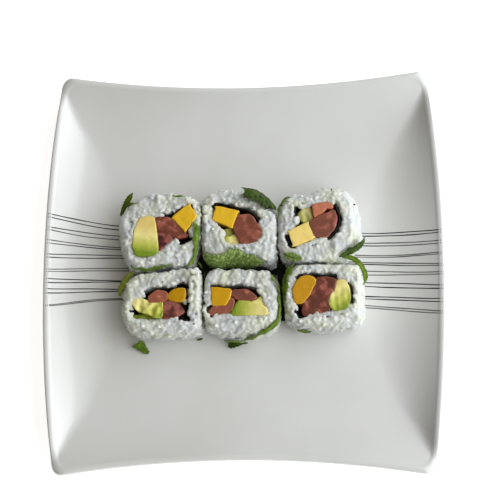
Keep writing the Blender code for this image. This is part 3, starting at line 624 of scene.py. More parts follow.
# Takes the solid's coarse bumps out before real grains go on, with no shrinking
def smoothSolid(solid, rounds):
    spots = np.array([corner.co for corner in solid.verts])
    ends = np.array([[corner.index for corner in edge.verts] for edge in solid.edges])
    count = np.bincount(ends.ravel(), minlength=len(spots))[:, None]
    for step in range(2 * rounds):
        total = np.zeros_like(spots)
        np.add.at(total, ends[:, 0], spots[ends[:, 1]])
        np.add.at(total, ends[:, 1], spots[ends[:, 0]])
        spots += (total / count - spots) * (rice["smoothIn"] if step % 2 == 0 else rice["smoothOut"])
    for corner, spot in zip(solid.verts, spots):
        corner.co = spot
    solid.normal_update()


def seaweedRing(name):  # the middle line of the sheet's upper edge, in order round the roll
    solid = nodeMesh(name + "_seaweed")
    top = nodeBox(name + "_seaweed")[1].z
    middle = nodeMiddle(name + "_seaweed")
    upper = [corner.co.copy() for corner in solid.verts if corner.co.z > top - 0.05 * mm]
    solid.free()
    upper.sort(key=lambda co: math.atan2(co.y - middle.y, co.x - middle.x))
    ring = [(upper[i] + upper[i + 1]) / 2 for i in range(0, len(upper), 2)]
    return smoothLoop([(point.x, point.y) for point in ring], nori["smoothSteps"])


def makeRollRice(name, finish, seed, template):
    draw = random.Random(seed)
    shapeCorners, shapeFaces = template
    solid = nodeMesh(name + "_rice")
    for step in range(rice["coreCuts"]):
        longEdges = [edge for edge in solid.edges if edge.calc_length() > rice["coreEdge"] * mm]
        bmesh.ops.subdivide_edges(solid, edges=longEdges, cuts=1)
        bmesh.ops.triangulate(solid, faces=solid.faces)
    solid.verts.index_update()
    smoothSolid(solid, rice["coreRounds"])
    low, high = nodeBox(name + "_rice")
    middle = nodeMiddle(name + "_seaweed")
    ring = seaweedRing(name)
    # grains may lie on any face but the underside's and those deep inside, against the seaweed
    weights = []
    for face in solid.faces:
        centre = face.calc_center_median()
        outward = Vector((centre.x - middle.x, centre.y - middle.y, 0)).normalized()
        deep = centre.z < high.z - rice["innerDepth"] * mm
        inside = deep and face.normal.dot(outward) < rice["insideNormal"]
        under = face.normal.z < rice["underNormal"] or centre.z < low.z + rice["underHeight"] * mm
        weights.append(0.0 if inside or under else face.calc_area())
    cell = rice["spacing"] * mm
    tries = int(sum(weights) / cell ** 2 * rice["triesPerSpot"])
    chosen = draw.choices(list(solid.faces), weights, k=tries)
    # each lies flat against the mass, more or less sunk, and none nearer to another than one cell
    taken = {}
    grains = []
    for face in chosen:
        a, b, c = (corner.co for corner in face.verts[:3])
        s, t = draw.random(), draw.random()
        if s + t > 1:
            s, t = 1 - s, 1 - t
        spot = a + (b - a) * s + (c - a) * t
        key = tuple(int(math.floor(value / cell)) for value in spot)
        near = [p for i in (-1, 0, 1) for j in (-1, 0, 1) for k in (-1, 0, 1)
                for p in taken.get((key[0] + i, key[1] + j, key[2] + k), ())]
        if any((p - spot).length_squared < cell * cell for p in near):
            continue
        taken.setdefault(key, []).append(spot)
        normal = face.normal
        flat = Vector((draw.uniform(-1, 1), draw.uniform(-1, 1), draw.uniform(-1, 1)))
        flat = (flat - normal * flat.dot(normal)).normalized()
        lean = math.radians(draw.uniform(-rice["lean"], rice["lean"]))
        along = flat * math.cos(lean) + normal * math.sin(lean)
        length = draw.uniform(*rice["grainLength"]) * mm
        width = draw.uniform(*rice["grainWidth"]) * mm
        sink = draw.uniform(*mixPair(rice["sinkSide"], rice["sinkTop"], max(0.0, normal.z))) * mm
        spot = spot + normal * (riceSwell(spot) - sink)
        grains.append(placeGrain(shapeCorners, spot, along, normal, length, width))
    # then the rows over the seaweed's edge, and the loose ones
    walked = 0.0
    for before, point in zip(ring[-1:] + ring[:-1], ring):
        walked += (point - before).length
        angle = math.degrees(math.atan2(point.y - middle.y, point.x - middle.x))
        bare = any((angle - start) % 360 < end - start for start, end in rice["bare"][name])
        if walked < rice["rimGap"] * mm or bare:
            continue
        walked = 0.0
        ahead = Vector((point.x - before.x, point.y - before.y, 0)).normalized()
        inward = Vector((-ahead.y, ahead.x, 0))
        for reach, depth in rice["rimRows"]:
            turn = math.radians(draw.uniform(-rice["rimTurn"], rice["rimTurn"]))
            spot = Vector((point.x, point.y, high.z - draw.uniform(*depth) * mm))
            spot += inward * draw.uniform(*reach) * mm
            grains.append(placeGrain(shapeCorners, spot, ahead * math.cos(turn) + inward * math.sin(turn),
                                     Vector((0, 0, 1)), draw.uniform(*rice["grainLength"]) * mm,
                                     draw.uniform(*rice["grainWidth"]) * mm))
    for x, y, height, turn, lean, length in rice["loose"].get(name, ()):
        flat, tilt = wayAt(turn), math.radians(lean)
        along = Vector((flat.x * math.cos(tilt), flat.y * math.cos(tilt), math.sin(tilt)))
        spot = Vector((x, y, height)) * mm
        grains.append(placeGrain(shapeCorners, spot, along, rice["looseUp"], length * mm,
                                 rice["looseWidth"] * mm))
    # core and grains are fused, so that they stick to one another as cooked rice does
    corners = []
    for corner in solid.verts:
        corners.append(corner.co - corner.normal * (rice["coreInset"] * mm - riceSwell(corner.co)))
    faces = [[corner.index for corner in face.verts] for face in solid.faces]
    solid.free()
    everyCorner = np.concatenate([np.array(corners)] + grains)
    everyFace = faces + [list(face + len(corners) + i * len(shapeCorners))
                         for i in range(len(grains)) for face in shapeFaces]
    mesh = bpy.data.meshes.new(name + "_grains")
    mesh.from_pydata(everyCorner.tolist(), [], [[int(i) for i in face] for face in everyFace])
    lump = addObject(name + "_lump", mesh)
    fuse = lump.modifiers.new("fuse", "REMESH")
    fuse.mode = "VOXEL"
    fuse.voxel_size = rice["voxel"] * mm
    soften = lump.modifiers.new("soften", "SMOOTH")
    soften.factor = rice["softenBy"]
    soften.iterations = rice["soften"]
    thin = lump.modifiers.new("thin", "DECIMATE")
    thin.ratio = rice["keep"]
    made = bpy.data.meshes.new_from_object(lump.evaluated_get(bpy.context.evaluated_depsgraph_get()))
    bpy.data.objects.remove(lump)
    made.shade_smooth()
    made.name = name + "_grains"
    print("rice", name, len(grains), "grains", len(made.polygons), "faces")
    addPiece(name + "_grains", made, finish, "rice", [name + "_rice"])


# Seaweed: a thin sheet rolled round the fillings, with a ragged cut edge. It folds in under them.
nori = {
    "thickness": 0.45, "rows": 9, "smoothSteps": 7, "crinkle": 0.22, "crinkleLength": 2.5, "above": 0.1,
    "ragged": 0.45, "tearLength": 1.6, "innerLift": 0.4,
}


def makeNoriSheet(name, finish):
    low, high = nodeBox(name + "_seaweed")
    middle = nodeMiddle(name + "_seaweed")
    ring = seaweedRing(name)
    centre = Vector((middle.x, middle.y))
    seed = rollNames.index(name) * 11.0
    loops = []
    for side in (1, -1):  # up the outside, then down the inside
        order = range(nori["rows"]) if side == 1 else range(nori["rows"] - 1, -1, -1)
        for row in order:
            loop = []
            for point in ring:
                share = row / (nori["rows"] - 1)
                fold = unevenAt(point.x, point.y, nori["crinkleLength"] * mm, seed + share * 4)
                tear = unevenAt(point.x, point.y, nori["tearLength"] * mm, seed + 31)
                top = high.z + (nori["above"] + nori["ragged"] * tear) * mm
                out = side * nori["thickness"] / 2 + nori["crinkle"] * fold
                flat = point + (point - centre).normalized() * out * mm
                floor = low.z + (nori["innerLift"] * mm if side == -1 else 0.0)
                loop.append(Vector((flat.x, flat.y, mix(floor, top, share))))
            loops.append(loop)
    corners, faces = stackLoops(loops)
    mesh = meshFrom(corners, faces, name + "_nori")
    addPiece(name + "_nori", mesh, finish, "seaweed", [name + "_seaweed"])


# Fillings: each stick has the outline of its solid, grown until it lies against what is beside it, with
# a knife-cut top. For each: the way that its muscle lines or its skin lie, in degrees from +X, how far its
# top slopes that way, in degrees, how pale it is (for roll 3's mango, paler as painted light where it faces
# the light), for avocado how green it is at both its ends and how far it is darkened, partly as bruising
# and partly as painted shade on pieces that lie low in shade, how far it is sunk below the others, and how
# much its top waves.
fillings = {
    "grow": 1.1, "press": 0.06, "edge": 0.3, "edgeSteps": 4, "spacing": 0.55, "shift": 0.1,
    "wobble": 0.3, "wobbleLength": 2.2, "wave": 0.07, "waveLength": 3.5, "rough": 0.05, "roughLength": 0.9,
    "rise": 0.35, "rows": 7, "rowPower": 1.6, "sideWave": 0.08, "sideWaveLength": 2.4, "sideEdge": 0.2,
    "muscle": 4.4, "muscleBend": 1.2, "muscleBendLength": 5,  # the muscle lines are this far apart
    "pieces": {
        "roll_1_avocado": {"way": 262, "slope": 2, "skin": (-0.35, 1.08)},
        "roll_1_tuna_1": {"way": 60, "slope": 3, "pale": 0.2},
        "roll_1_tuna_2": {"way": 40, "slope": -3, "pale": 0.0},
        "roll_1_mango": {"way": 20, "slope": 3, "pale": 0.5},
        "roll_2_mango": {"way": 100, "slope": -2, "pale": 0.5},
        "roll_2_tuna": {"way": 75, "slope": 2, "pale": 0.25},
        "roll_2_avocado_1": {"way": 350, "slope": 6, "skin": (0.2, 1.0), "bruiseAndShade": 0.4, "sunk": 1.3,
                             "wave": 0.3},
        "roll_2_avocado_2": {"way": 160, "slope": 4, "skin": (-0.1, 0.8), "bruiseAndShade": 0.15, "sunk": 0.6,
                             "wave": 0.35},
        "roll_3_avocado": {"way": 215, "slope": 5, "skin": (0.15, 0.75), "bruiseAndShade": 0.45, "sunk": 1.6,
                           "wave": 0.6},
        "roll_3_tuna_1": {"way": 130, "slope": 2, "pale": 0.8},
        "roll_3_tuna_2": {"way": 40, "slope": -3, "pale": 0.25},
        # painted light: this mango is set palest because it faces the light
        "roll_3_mango": {"way": 60, "slope": -4, "pale": 1.0},
        "roll_4_avocado_1": {"way": 300, "slope": 5, "skin": (0.2, 0.85), "wave": 0.8},
        "roll_4_avocado_2": {"way": 200, "slope": 6, "skin": (0.6, 1.2), "bruiseAndShade": 0.35, "sunk": 1.5,
                             "wave": 0.4},
        "roll_4_tuna_1": {"way": 80, "slope": 3, "pale": 0.45},
        "roll_4_tuna_2": {"way": 50, "slope": -5, "pale": 0.05},
        "roll_4_mango": {"way": 0, "slope": 6, "pale": 0.15},
        "roll_5_mango": {"way": 90, "slope": 3, "pale": 0.2},
        "roll_5_tuna_1": {"way": 120, "slope": 2, "pale": 0.25},
        "roll_5_tuna_2": {"way": 95, "slope": 3, "pale": 0.4},
        "roll_5_avocado_1": {"way": 172, "slope": -3, "skin": (0.15, 1.05)},
        "roll_5_avocado_2": {"way": 80, "slope": 4, "skin": (0.1, 0.8)},
        "roll_6_mango": {"way": 120, "slope": 5, "pale": 0.1},
        "roll_6_tuna": {"way": 35, "slope": 2, "pale": 0.15},
        "roll_6_avocado": {"way": 300, "slope": 3, "skin": (0.1, 0.95), "wave": 0.35},
    },
}


# The outline of an upright stick: the edges round the flat bottom of its solid, in order
def stickOutline(name):
    solid = nodeMesh(name)
    low = min(corner.co.z for corner in solid.verts)
    follows = {}
    for edge in solid.edges:
        a, b = edge.verts
        if max(a.co.z, b.co.z) > low + 0.01 * mm:
            continue
        if sum(abs(face.normal.z) < 0.5 for face in edge.link_faces) == 1:
            follows.setdefault(a.index, []).append(b.index)
            follows.setdefault(b.index, []).append(a.index)
    solid.verts.ensure_lookup_table()
    start = min(follows)
    order = [start]
    previous, here = None, start
    while True:
        onward = [i for i in follows[here] if i != previous]
        previous, here = here, onward[0]
        if here == start:
            break
        order.append(here)
    points = [Vector((solid.verts[i].co.x, solid.verts[i].co.y)) / mm for i in order]
    solid.free()
    area = sum(here.x * there.y - there.x * here.y for here, there in zip(points, points[1:] + points[:1]))
    return points if area > 0 else points[::-1]


def treeOf(points):
    tree = KDTree(len(points))
    for i, point in enumerate(points):
        tree.insert((point.x, point.y, 0), i)
    tree.balance()
    return tree


# Each point goes out by the given distance, or up to half way to the nearest point of the others
def growOutline(points, others, distance):
    tree = treeOf(others)
    moved = []
    for i in range(len(points)):
        before = (points[i] - points[i - 1]).normalized()
        after = (points[(i + 1) % len(points)] - points[i]).normalized()
        outward = Vector((before.y + after.y, -before.x - after.x))
        gap = tree.find((points[i].x, points[i].y, 0))[2]
        step = min(distance, gap / 2 + fillings["press"])
        moved.append(points[i] + outward * (step / max(0.5, 1 + before.dot(after))))
    return moved


def insideLoop(loop, x, y):
    odd = False
    for i, a in enumerate(loop):
        b = loop[i - 1]
        if (a.y > y) != (b.y > y) and x < (b.x - a.x) * (y - a.y) / (b.y - a.y) + a.x:
            odd = not odd
    return odd


def makeStick(name, finish, slot, outlines):
    look = fillings["pieces"][name]
    low, high = nodeBox(name)
    others = [point for other, points in outlines.items() if other[:6] == name[:6] and other != name
              for point in points]
    outline = growOutline(outlines[name], others, fillings["grow"])
    seed = nameSeed(name)
    rim = []
    for point in outline:
        size = fillings["wobbleLength"]
        shake = noise.noise_vector(Vector((point.x / size, point.y / size, seed)))
        rim.append(Vector((point.x + shake.x * fillings["wobble"], point.y + shake.y * fillings["wobble"])))
    tree = treeOf(rim)
    draw = random.Random(name)
    spacing, shift = fillings["spacing"], fillings["shift"]
    rowGap = 0.87  # rows of points in even triangles
    xs, ys = [p.x for p in rim], [p.y for p in rim]
    flat = list(rim)  # the cut face's points: its rim, then all that are inside it
    for row in range(int((max(ys) - min(ys)) / (spacing * rowGap)) + 1):
        for column in range(int((max(xs) - min(xs)) / spacing) + 1):
            x = min(xs) + (column + 0.5 * (row % 2)) * spacing + draw.uniform(-shift, shift)
            y = min(ys) + row * spacing * rowGap + draw.uniform(-shift, shift)
            if insideLoop(rim, x, y) and tree.find((x, y, 0))[2] > spacing * 0.45:  # clear of the rim
                flat.append(Vector((x, y)))
    filled = delaunay_2d_cdt(flat, [], [list(range(len(rim)))], 1, 1e-4)
    spots, faces = filled[0], filled[2]
    centre = Vector(((min(xs) + max(xs)) / 2, (min(ys) + max(ys)) / 2))
    way = wayAt(look["way"])
    reachWay = max(abs((point - centre).dot(way)) for point in rim)
    made = bmesh.new()
    edgeLayer = made.verts.layers.float.new("edge")
    wayLayer = made.verts.layers.float.new("skin" if "skin" in look else "across")
    top = high.z / mm + fillings["rise"]
    edge, wave = fillings["edge"], look.get("wave", fillings["wave"])
    for spot in spots:
        near = tree.find((spot.x, spot.y, 0))[2]
        drop = edge - math.sqrt(max(0.0, edge ** 2 - max(0.0, edge - near) ** 2))
        swell = unevenAt(spot.x, spot.y, fillings["waveLength"], seed + 3) * wave * 2
        rough = unevenAt(spot.x, spot.y, fillings["roughLength"], seed + 9) * fillings["rough"]
        slope = (spot - centre).dot(way) * math.tan(math.radians(look["slope"]))
        height = top - look.get("sunk", 0.0) - drop + swell + rough + slope
        corner = made.verts.new(Vector((spot.x, spot.y, height)) * mm)
        corner[edgeLayer] = near
    made.verts.ensure_lookup_table()
    for face in faces:
        if len(set(face)) == 3:
            made.faces.new([made.verts[i] for i in face])
    loose = [corner for corner in made.verts if not corner.link_faces]
    bmesh.ops.delete(made, geom=loose, context="VERTS")
    ring = [edge for edge in made.edges if len(edge.link_faces) == 1]
    for row in range(1, fillings["rows"] + 1):  # the sides go down from the rim, row by row
        raised = bmesh.ops.extrude_edge_only(made, edges=ring)["geom"]
        ring = [item for item in raised if isinstance(item, bmesh.types.BMEdge)]
        share = (row / fillings["rows"]) ** fillings["rowPower"]
        for corner in [item for item in raised if isinstance(item, bmesh.types.BMVert)]:
            corner[edgeLayer] = fillings["sideEdge"]
            corner.co.z = mix(corner.co.z, low.z, share)
            shake = noise.noise_vector(corner.co / (fillings["sideWaveLength"] * mm))
            shake = shake * fillings["sideWave"] * mm
            corner.co.x += shake.x
            corner.co.y += shake.y
    bmesh.ops.contextual_create(made, geom=ring)
    bmesh.ops.recalc_face_normals(made, faces=made.faces)
    for corner in made.verts:
        spot = Vector((corner.co.x, corner.co.y)) / mm
        along = (spot - centre).dot(way)
        if "skin" in look:
            first, last = look["skin"]
            corner[wayLayer] = mix(first, last, (along / reachWay + 1) / 2)
        else:
            bend = unevenAt(spot.x, spot.y, fillings["muscleBendLength"], seed) * fillings["muscleBend"]
            corner[wayLayer] = (along + bend) / fillings["muscle"]
    mesh = meshOf(made, name + "_cut")
    for label in ("pale", "bruiseAndShade"):
        addAttribute(mesh, label, [look.get(label, 0.0)] * len(mesh.vertices))
    addPiece(name + "_cut", mesh, finish, slot, [name])


# Mint leaves. A leaf on a roll has a line of places: an angle round the roll, and a place up the rice's
# outside from 1 at the bottom through 3 at the swell to 6 at the shoulder and 7 on the top. Half widths
# are in the same steps. A free leaf has points, the way that it is wide, and from its start to its end how
# far it goes to each side.
leaves = {
    "thickness": 0.32, "clear": 0.95, "cell": 0.42, "smoothOnRolls": 14, "smoothFree": 2,
    "heights": [0.0, 0.02, 0.18, 0.42, 0.66, 0.87, 0.95],  # of places 0 to 6, as shares of the rice's
    "overIn": 1.0, "overTop": 3.6,  # from place 6 a leaf lies over the shoulder, this far in
    "toothGap": 2.3, "toothDepth": 0.22, "toothSlant": 0.3, "toothPower": 6,
    "ribWidth": (0.15, 0.55), "veinGap": 3.2, "veinSlant": 0.9, "veinWidth": 0.28, "veinDepth": 0.8,
    "net": 1.7, "netWidth": 0.35, "netDepth": 0.65, "veinTone": 0.75,
    "wave": 0.5, "waveLength": 4.5, "dome": 0.15, "freeLift": 0.1, "freeUp": (0.0, -0.2, 1.0),
    "endWidth": 0.12, "endPower": 0.7,  # a leaf on a roll has blunt ends, this wide
    "fewestRows": 10, "fewestColumns": 6, "stepWidth": 10, "guideStep": 0.05,
    # how high the blade stands between its veins
    "puff": {"mint": 0.3, "dark": 0.3, "deep": 0.3, "young": 0.3, "grey": 0.85},
    "onRolls": {
        "leaf_corner_short": ("roll_1", [(146, 5.0), (138, 5.7), (130, 6.2)], 0.45, (0.0, 0.0), "mint"),
        "leaf_far_bit": ("roll_1", [(59, 6.1), (68, 6.0), (78, 6.1)], 0.30, (0.0, 0.0), "mint"),
        "leaf_between_1_2": ("roll_1", [(17, 6.7), (-2, 6.2), (-19, 5.8), (-34, 5.4), (-56, 5.1)], 0.8,
                             (0.0, 0.0), "mint"),
        "leaf_between_1_4": ("roll_1", [(226, 5.7), (251, 5.3), (283, 5.6)], 0.55, (0.0, 0.0), "mint"),
        "leaf_folded": ("roll_2", [(82, 6.2), (66, 5.7), (48, 5.2), (33, 5.0), (20, 5.4)], 1.7,
                        (3.0, 1.2), "dark"),
        "leaf_between_2_3": ("roll_3", [(128, 6.1), (140, 5.7), (153, 5.4), (168, 5.2)], 0.50,
                             (0.0, 0.0), "mint"),
        "leaf_netted": ("roll_2", [(222, 5.1), (250, 4.7), (277, 4.6), (308, 4.9)], 2.4,
                        (0.3, 0.3), "grey"),
        "leaf_pale": ("roll_3", [(226, 5.8), (239, 6.1), (252, 6.0)], 0.80, (0.0, 0.0), "grey"),
        "leaf_right_tip": ("roll_3", [(307, 5.2), (322, 5.0), (334, 4.6), (345, 4.3)], 0.6,
                           (0.4, 3.0), "dark"),
        "leaf_left_of_6": ("roll_6", [(130, 5.9), (145, 5.8), (160, 5.7), (176, 5.6), (192, 5.4)], 0.80,
                           (1.6, 0.0), "mint"),
        "leaf_right_of_5": ("roll_5", [(40, 5.8), (20, 5.5), (0, 5.3), (-20, 5.2), (-42, 4.8), (-64, 3.9),
                                       (-84, 2.8)], 0.60, (0.0, 0.0), "mint"),
        # this one only the scene has
        "leaf_near_band": ("roll_5", [(-78, 3.1), (-92, 2.6), (-104, 2.2), (-117, 1.9)], 0.45,
                           (0.2, 0.2), "grey"),
        "leaf_near_bit": ("roll_6", [(231, 4.0), (241, 3.8), (252, 4.0)], 0.35, (0.0, 0.0), "mint"),
    },
    "free": {
        "leaf_corner_tall": (
            [(-68.2, 47.4, 26.6), (-72.0, 42.6, 22.5), (-77.2, 36.0, 14.2)], (0.8, 0.3, 0.45),
            [(0.3, 0.3), (1.9, 1.7), (1.6, 2.2), (1.5, 1.9), (0.7, 0.7)], "mint"),
        "leaf_left_edge": (
            [(-65.0, -2.2, 26.0), (-70.3, -5.6, 24.6), (-74.2, -11.0, 22.6), (-76.0, -17.0, 20.0)],
            (0.8, -0.4, 0.3), [(0.4, 0.4), (1.8, 1.6), (2.8, 2.4), (2.4, 2.4), (0.6, 0.9)], "young"),
        "leaf_right_edge": (
            [(61.5, 4.2, 30.0), (67.0, 3.6, 29.5), (71.2, 0.8, 28.0), (74.2, -3.2, 26.0),
             (75.4, -7.2, 24.0), (74.2, -11.6, 22.0)], (0.6, 0.8, 0.15),
            [(0.8, 0.8), (1.7, 1.7), (2.0, 1.7), (1.8, 1.7), (1.6, 1.7), (0.5, 0.4)], "mint"),
        "leaf_gap_upper": ([(-27.6, 3.6, 25.4), (-26.0, 1.6, 26.4), (-24.4, -0.8, 25.6)],
                           (0.2, 0.1, 1.0), [(0.5, 0.5), (2.2, 2.2), (0.8, 0.8)], "mint"),
        "leaf_gap_lower": ([(-23.2, -3.4, 25.0), (-23.2, -7.0, 27.5), (-23.2, -11.0, 26.0)],
                           (0.0, 0.0, 1.0), [(0.6, 0.6), (2.2, 2.2), (0.5, 0.5)], "dark"),
        "leaf_tip_near": (
            [(-9.4, -45.6, 9.2), (-4.0, -45.9, 9.8), (2.6, -45.0, 8.9)], (0.0, 1.0, 0.1),
            [(2.0, 2.2), (2.9, 3.0), (2.4, 2.6), (2.8, 2.5), (1.8, 1.6), (1.2, 1.4), (0.5, 0.5),
             (1.0, 0.7), (0.2, 0.2)], "dark"),
        "leaf_scrap": (
            [(-63.6, -43.6, 14.5), (-63.9, -46.6, 10.4), (-64.2, -51.0, 8.9)], (1.0, 0.1, 0.0),
            [(0.8, 0.8), (2.4, 1.6), (3.2, 2.8), (3.4, 4.8), (4.2, 6.0), (5.2, 3.0), (6.2, 0.2),
             (5.2, -2.0)], "mint"),
        "leaf_crumb": ([(-29.0, -42.8, 8.7), (-27.2, -42.4, 9.0), (-25.4, -42.0, 8.7)],
                       (0.1, 1.0, 0.2), [(0.4, 0.4), (0.9, 0.9), (0.4, 0.4)], "dark"),
        # the rest only the scene has: a prong by the tall leaf, and near-black leaves low between the
        # rolls, put there as painted shade that darkens the gaps
        "leaf_corner_prong": ([(-73.4, 40.2, 21.5), (-69.5, 40.6, 25.0), (-64.2, 39.6, 27.2)],
                              (0.0, 0.9, 0.4), [(1.2, 1.2), (1.2, 1.3), (0.4, 0.5)], "mint"),
        "leaf_deep_left": ([(-30.0, 6.5, 12.0), (-22.5, 4.5, 13.0), (-14.0, 1.0, 12.0)],
                           (0.3, 1.0, 0.1), [(3.0, 5.0), (7.0, 8.5), (3.0, 5.0)], "deep"),
        "leaf_deep_right": ([(12.0, 1.0, 12.0), (21.0, 4.5, 13.0), (30.0, 2.0, 12.0)],
                            (-0.2, 1.0, 0.1), [(3.0, 5.0), (7.0, 8.5), (3.0, 5.0)], "deep"),
        "leaf_deep_middle": ([(-16.0, -0.8, 15.0), (0.0, -1.0, 17.0), (15.0, -0.6, 15.0)],
                             (0.0, 1.0, 0.1), [(2.5, 2.5), (3.0, 3.0), (2.5, 2.5)], "deep"),
        "leaf_deep_near_left": ([(-23.4, -3.0, 14.0), (-23.2, -18.0, 15.0), (-23.6, -32.0, 12.0)],
                                (1.0, 0.0, 0.1), [(2.5, 2.5), (2.8, 2.8), (1.5, 1.5)], "deep"),
        "leaf_deep_near_right": ([(24.0, -3.0, 14.0), (24.4, -18.0, 15.0), (24.6, -32.0, 12.0)],
                                 (1.0, 0.0, 0.1), [(3.0, 3.0), (3.4, 3.4), (1.5, 1.5)], "deep"),
        "leaf_deep_far": ([(-68.0, -1.6, 14.0), (-48.0, -2.6, 17.0), (-30.0, -2.0, 14.0)],
                          (0.0, 1.0, 0.1), [(1.5, 1.5), (2.6, 2.6), (2.5, 2.5)], "deep"),
    },
    # crumbs of leaf on the rice: place, height, half their size
    "specks": [(-67.8, 26.9, 33.3, 0.45), (-29.0, -36.9, 32.6, 0.6), (-54.9, -37.0, 32.4, 0.4),
               (69.2, 36.2, 32.6, 0.6), (24.7, 36.1, 33.0, 0.6), (55.6, 46.4, 31.0, 0.5),
               (-47.9, -10.9, 33.8, 0.4), (-35.4, -33.1, 33.4, 0.4)],
    "speckForm": (1.3, 1.0, 0.6),
}


@lru_cache
def riceTree(rollName):
    solid = nodeMesh(rollName + "_rice")
    tree = BVHTree.FromBMesh(solid)
    solid.free()
    return tree


def skinSpot(rollName, angle, place):  # where a straight line from outside meets the roll's solid rice
    tree = riceTree(rollName)
    low, high = nodeBox(rollName + "_rice")
    middle = nodeMiddle(rollName + "_seaweed")
    way = wayAt(angle).to_3d()
    heights = leaves["heights"]
    outside, over = 80 * mm, 20 * mm  # well clear of the rice

    def fromSide(share):
        start = Vector((middle.x, middle.y, mix(low.z, high.z, share))) + way * outside
        return tree.ray_cast(start, -way)[0]

    if place <= 6:
        first = max(0, min(int(place), 5))
        return fromSide(mix(heights[first], heights[first + 1], place - first))
    edge = fromSide(heights[5])
    shoulder = edge - way * (leaves["overIn"] + (place - 6) * leaves["overTop"]) * mm
    found = tree.ray_cast(Vector((shoulder.x, shoulder.y, high.z + over)), Vector((0, 0, -1)))[0]
    return found or Vector((shoulder.x, shoulder.y, high.z))


def leafShape(share):  # how wide a leaf on a roll is there, as a share of its widest
    return mix(leaves["endWidth"], 1.0, math.sin(math.pi * share) ** leaves["endPower"])


def smoothGrid(grid, rounds):  # along, then across
    for step in range(rounds):
        inner = grid.copy()
        inner[1:-1] = (grid[:-2] + 2 * grid[1:-1] + grid[2:]) / 4
        outer = inner.copy()
        outer[:, 1:-1] = (inner[:, :-2] + 2 * inner[:, 1:-1] + inner[:, 2:]) / 4
        grid = outer
    return grid


# A leaf from a grid of spots: lifted off them, toothed at its sides, quilted between a rib, slanting
# branches and a net of fine veins, and closed to a thin sheet
def makeLeaf(name, spotAt, lengthGuess, widthGuess, lifts, outward, finish, puff, rounds):
    rows = max(leaves["fewestRows"], int(lengthGuess / leaves["cell"]))
    columns = max(leaves["fewestColumns"], 2 * int(widthGuess / leaves["cell"] / 2))
    seed = nameSeed(name)
    grid = [[spotAt(i / rows, 2 * k / columns - 1) for k in range(columns + 1)] for i in range(rows + 1)]
    grid = smoothGrid(np.array(grid), rounds)
    alongWay = np.gradient(grid, axis=0)
    acrossWay = np.gradient(grid, axis=1)
    normals = np.cross(alongWay, acrossWay)
    normals /= np.linalg.norm(normals, axis=2, keepdims=True) + 1e-12
    facing = np.einsum("ijk,ijk->ij", normals, outward(grid))
    if facing.mean() < 0:
        normals = -normals
    # how far each spot is along the leaf, and across it from the rib
    lengthWay = np.cumsum(np.linalg.norm(alongWay, axis=2), axis=0) / mm
    half = columns // 2
    steps = np.linalg.norm(acrossWay, axis=2) / mm
    widthWay = np.cumsum(steps, axis=1)
    widthWay = widthWay - widthWay[:, half:half + 1]
    upper, lower, veins = [], [], []
    for i in range(rows + 1):
        share = i / rows
        for k in range(columns + 1):
            side = 2 * k / columns - 1
            s, w = lengthWay[i, k], widthWay[i, k]
            tooth = 1 - (s / leaves["toothGap"] + leaves["toothSlant"] * side) % 1.0
            pull = leaves["toothDepth"] * tooth * abs(side) ** leaves["toothPower"]
            spot = grid[i, k] + (grid[i, half] - grid[i, k]) * pull
            rib = 1 - blendOver(*leaves["ribWidth"], abs(w))
            branch = abs(((s - leaves["veinSlant"] * abs(w)) / leaves["veinGap"]) % 1.0 - 0.5) * 2
            branch = (1 - blendOver(0.0, leaves["veinWidth"], 1 - branch)) * leaves["veinDepth"]
            near = noise.voronoi(Vector((s / leaves["net"], w / leaves["net"], seed)))[0]
            net = 1 - blendOver(0.0, leaves["netWidth"], near[1] - near[0])
            vein = max(rib, branch, net * leaves["netDepth"])
            wave = unevenAt(s, w, leaves["waveLength"], seed + 2) * leaves["wave"]
            dome = leaves["dome"] * (1 - side * side)
            lift = mix(lifts[0], lifts[1], share) + wave + puff * (1 - vein) + dome
            spot = spot + normals[i, k] * lift * mm
            upper.append(spot + normals[i, k] * leaves["thickness"] / 2 * mm)
            lower.append(spot - normals[i, k] * leaves["thickness"] / 2 * mm)
            veins.append(vein)
    count = len(upper)
    wide = columns + 1
    faces = []
    for i in range(rows):
        for k in range(columns):
            a, b, c, d = i * wide + k, (i + 1) * wide + k, (i + 1) * wide + k + 1, i * wide + k + 1
            faces += [(a, b, c), (a, c, d)]
            faces += [(a + count, c + count, b + count), (a + count, d + count, c + count)]
    edge = [i * wide for i in range(rows)] + [rows * wide + k for k in range(columns)]
    edge += [i * wide + columns for i in range(rows, 0, -1)] + list(range(columns, 0, -1))
    for here, there in zip(edge, edge[1:] + edge[:1]):
        faces += [(there, here, here + count), (there, here + count, there + count)]
    mesh = meshFrom(upper + lower, faces, name + "_blade")
    addAttribute(mesh, "vein", [leaves["veinTone"] * value for value in veins] * 2)
    solids = [name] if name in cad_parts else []
    addPiece(name + "_blade", mesh, finish, "mint_leaf", solids)


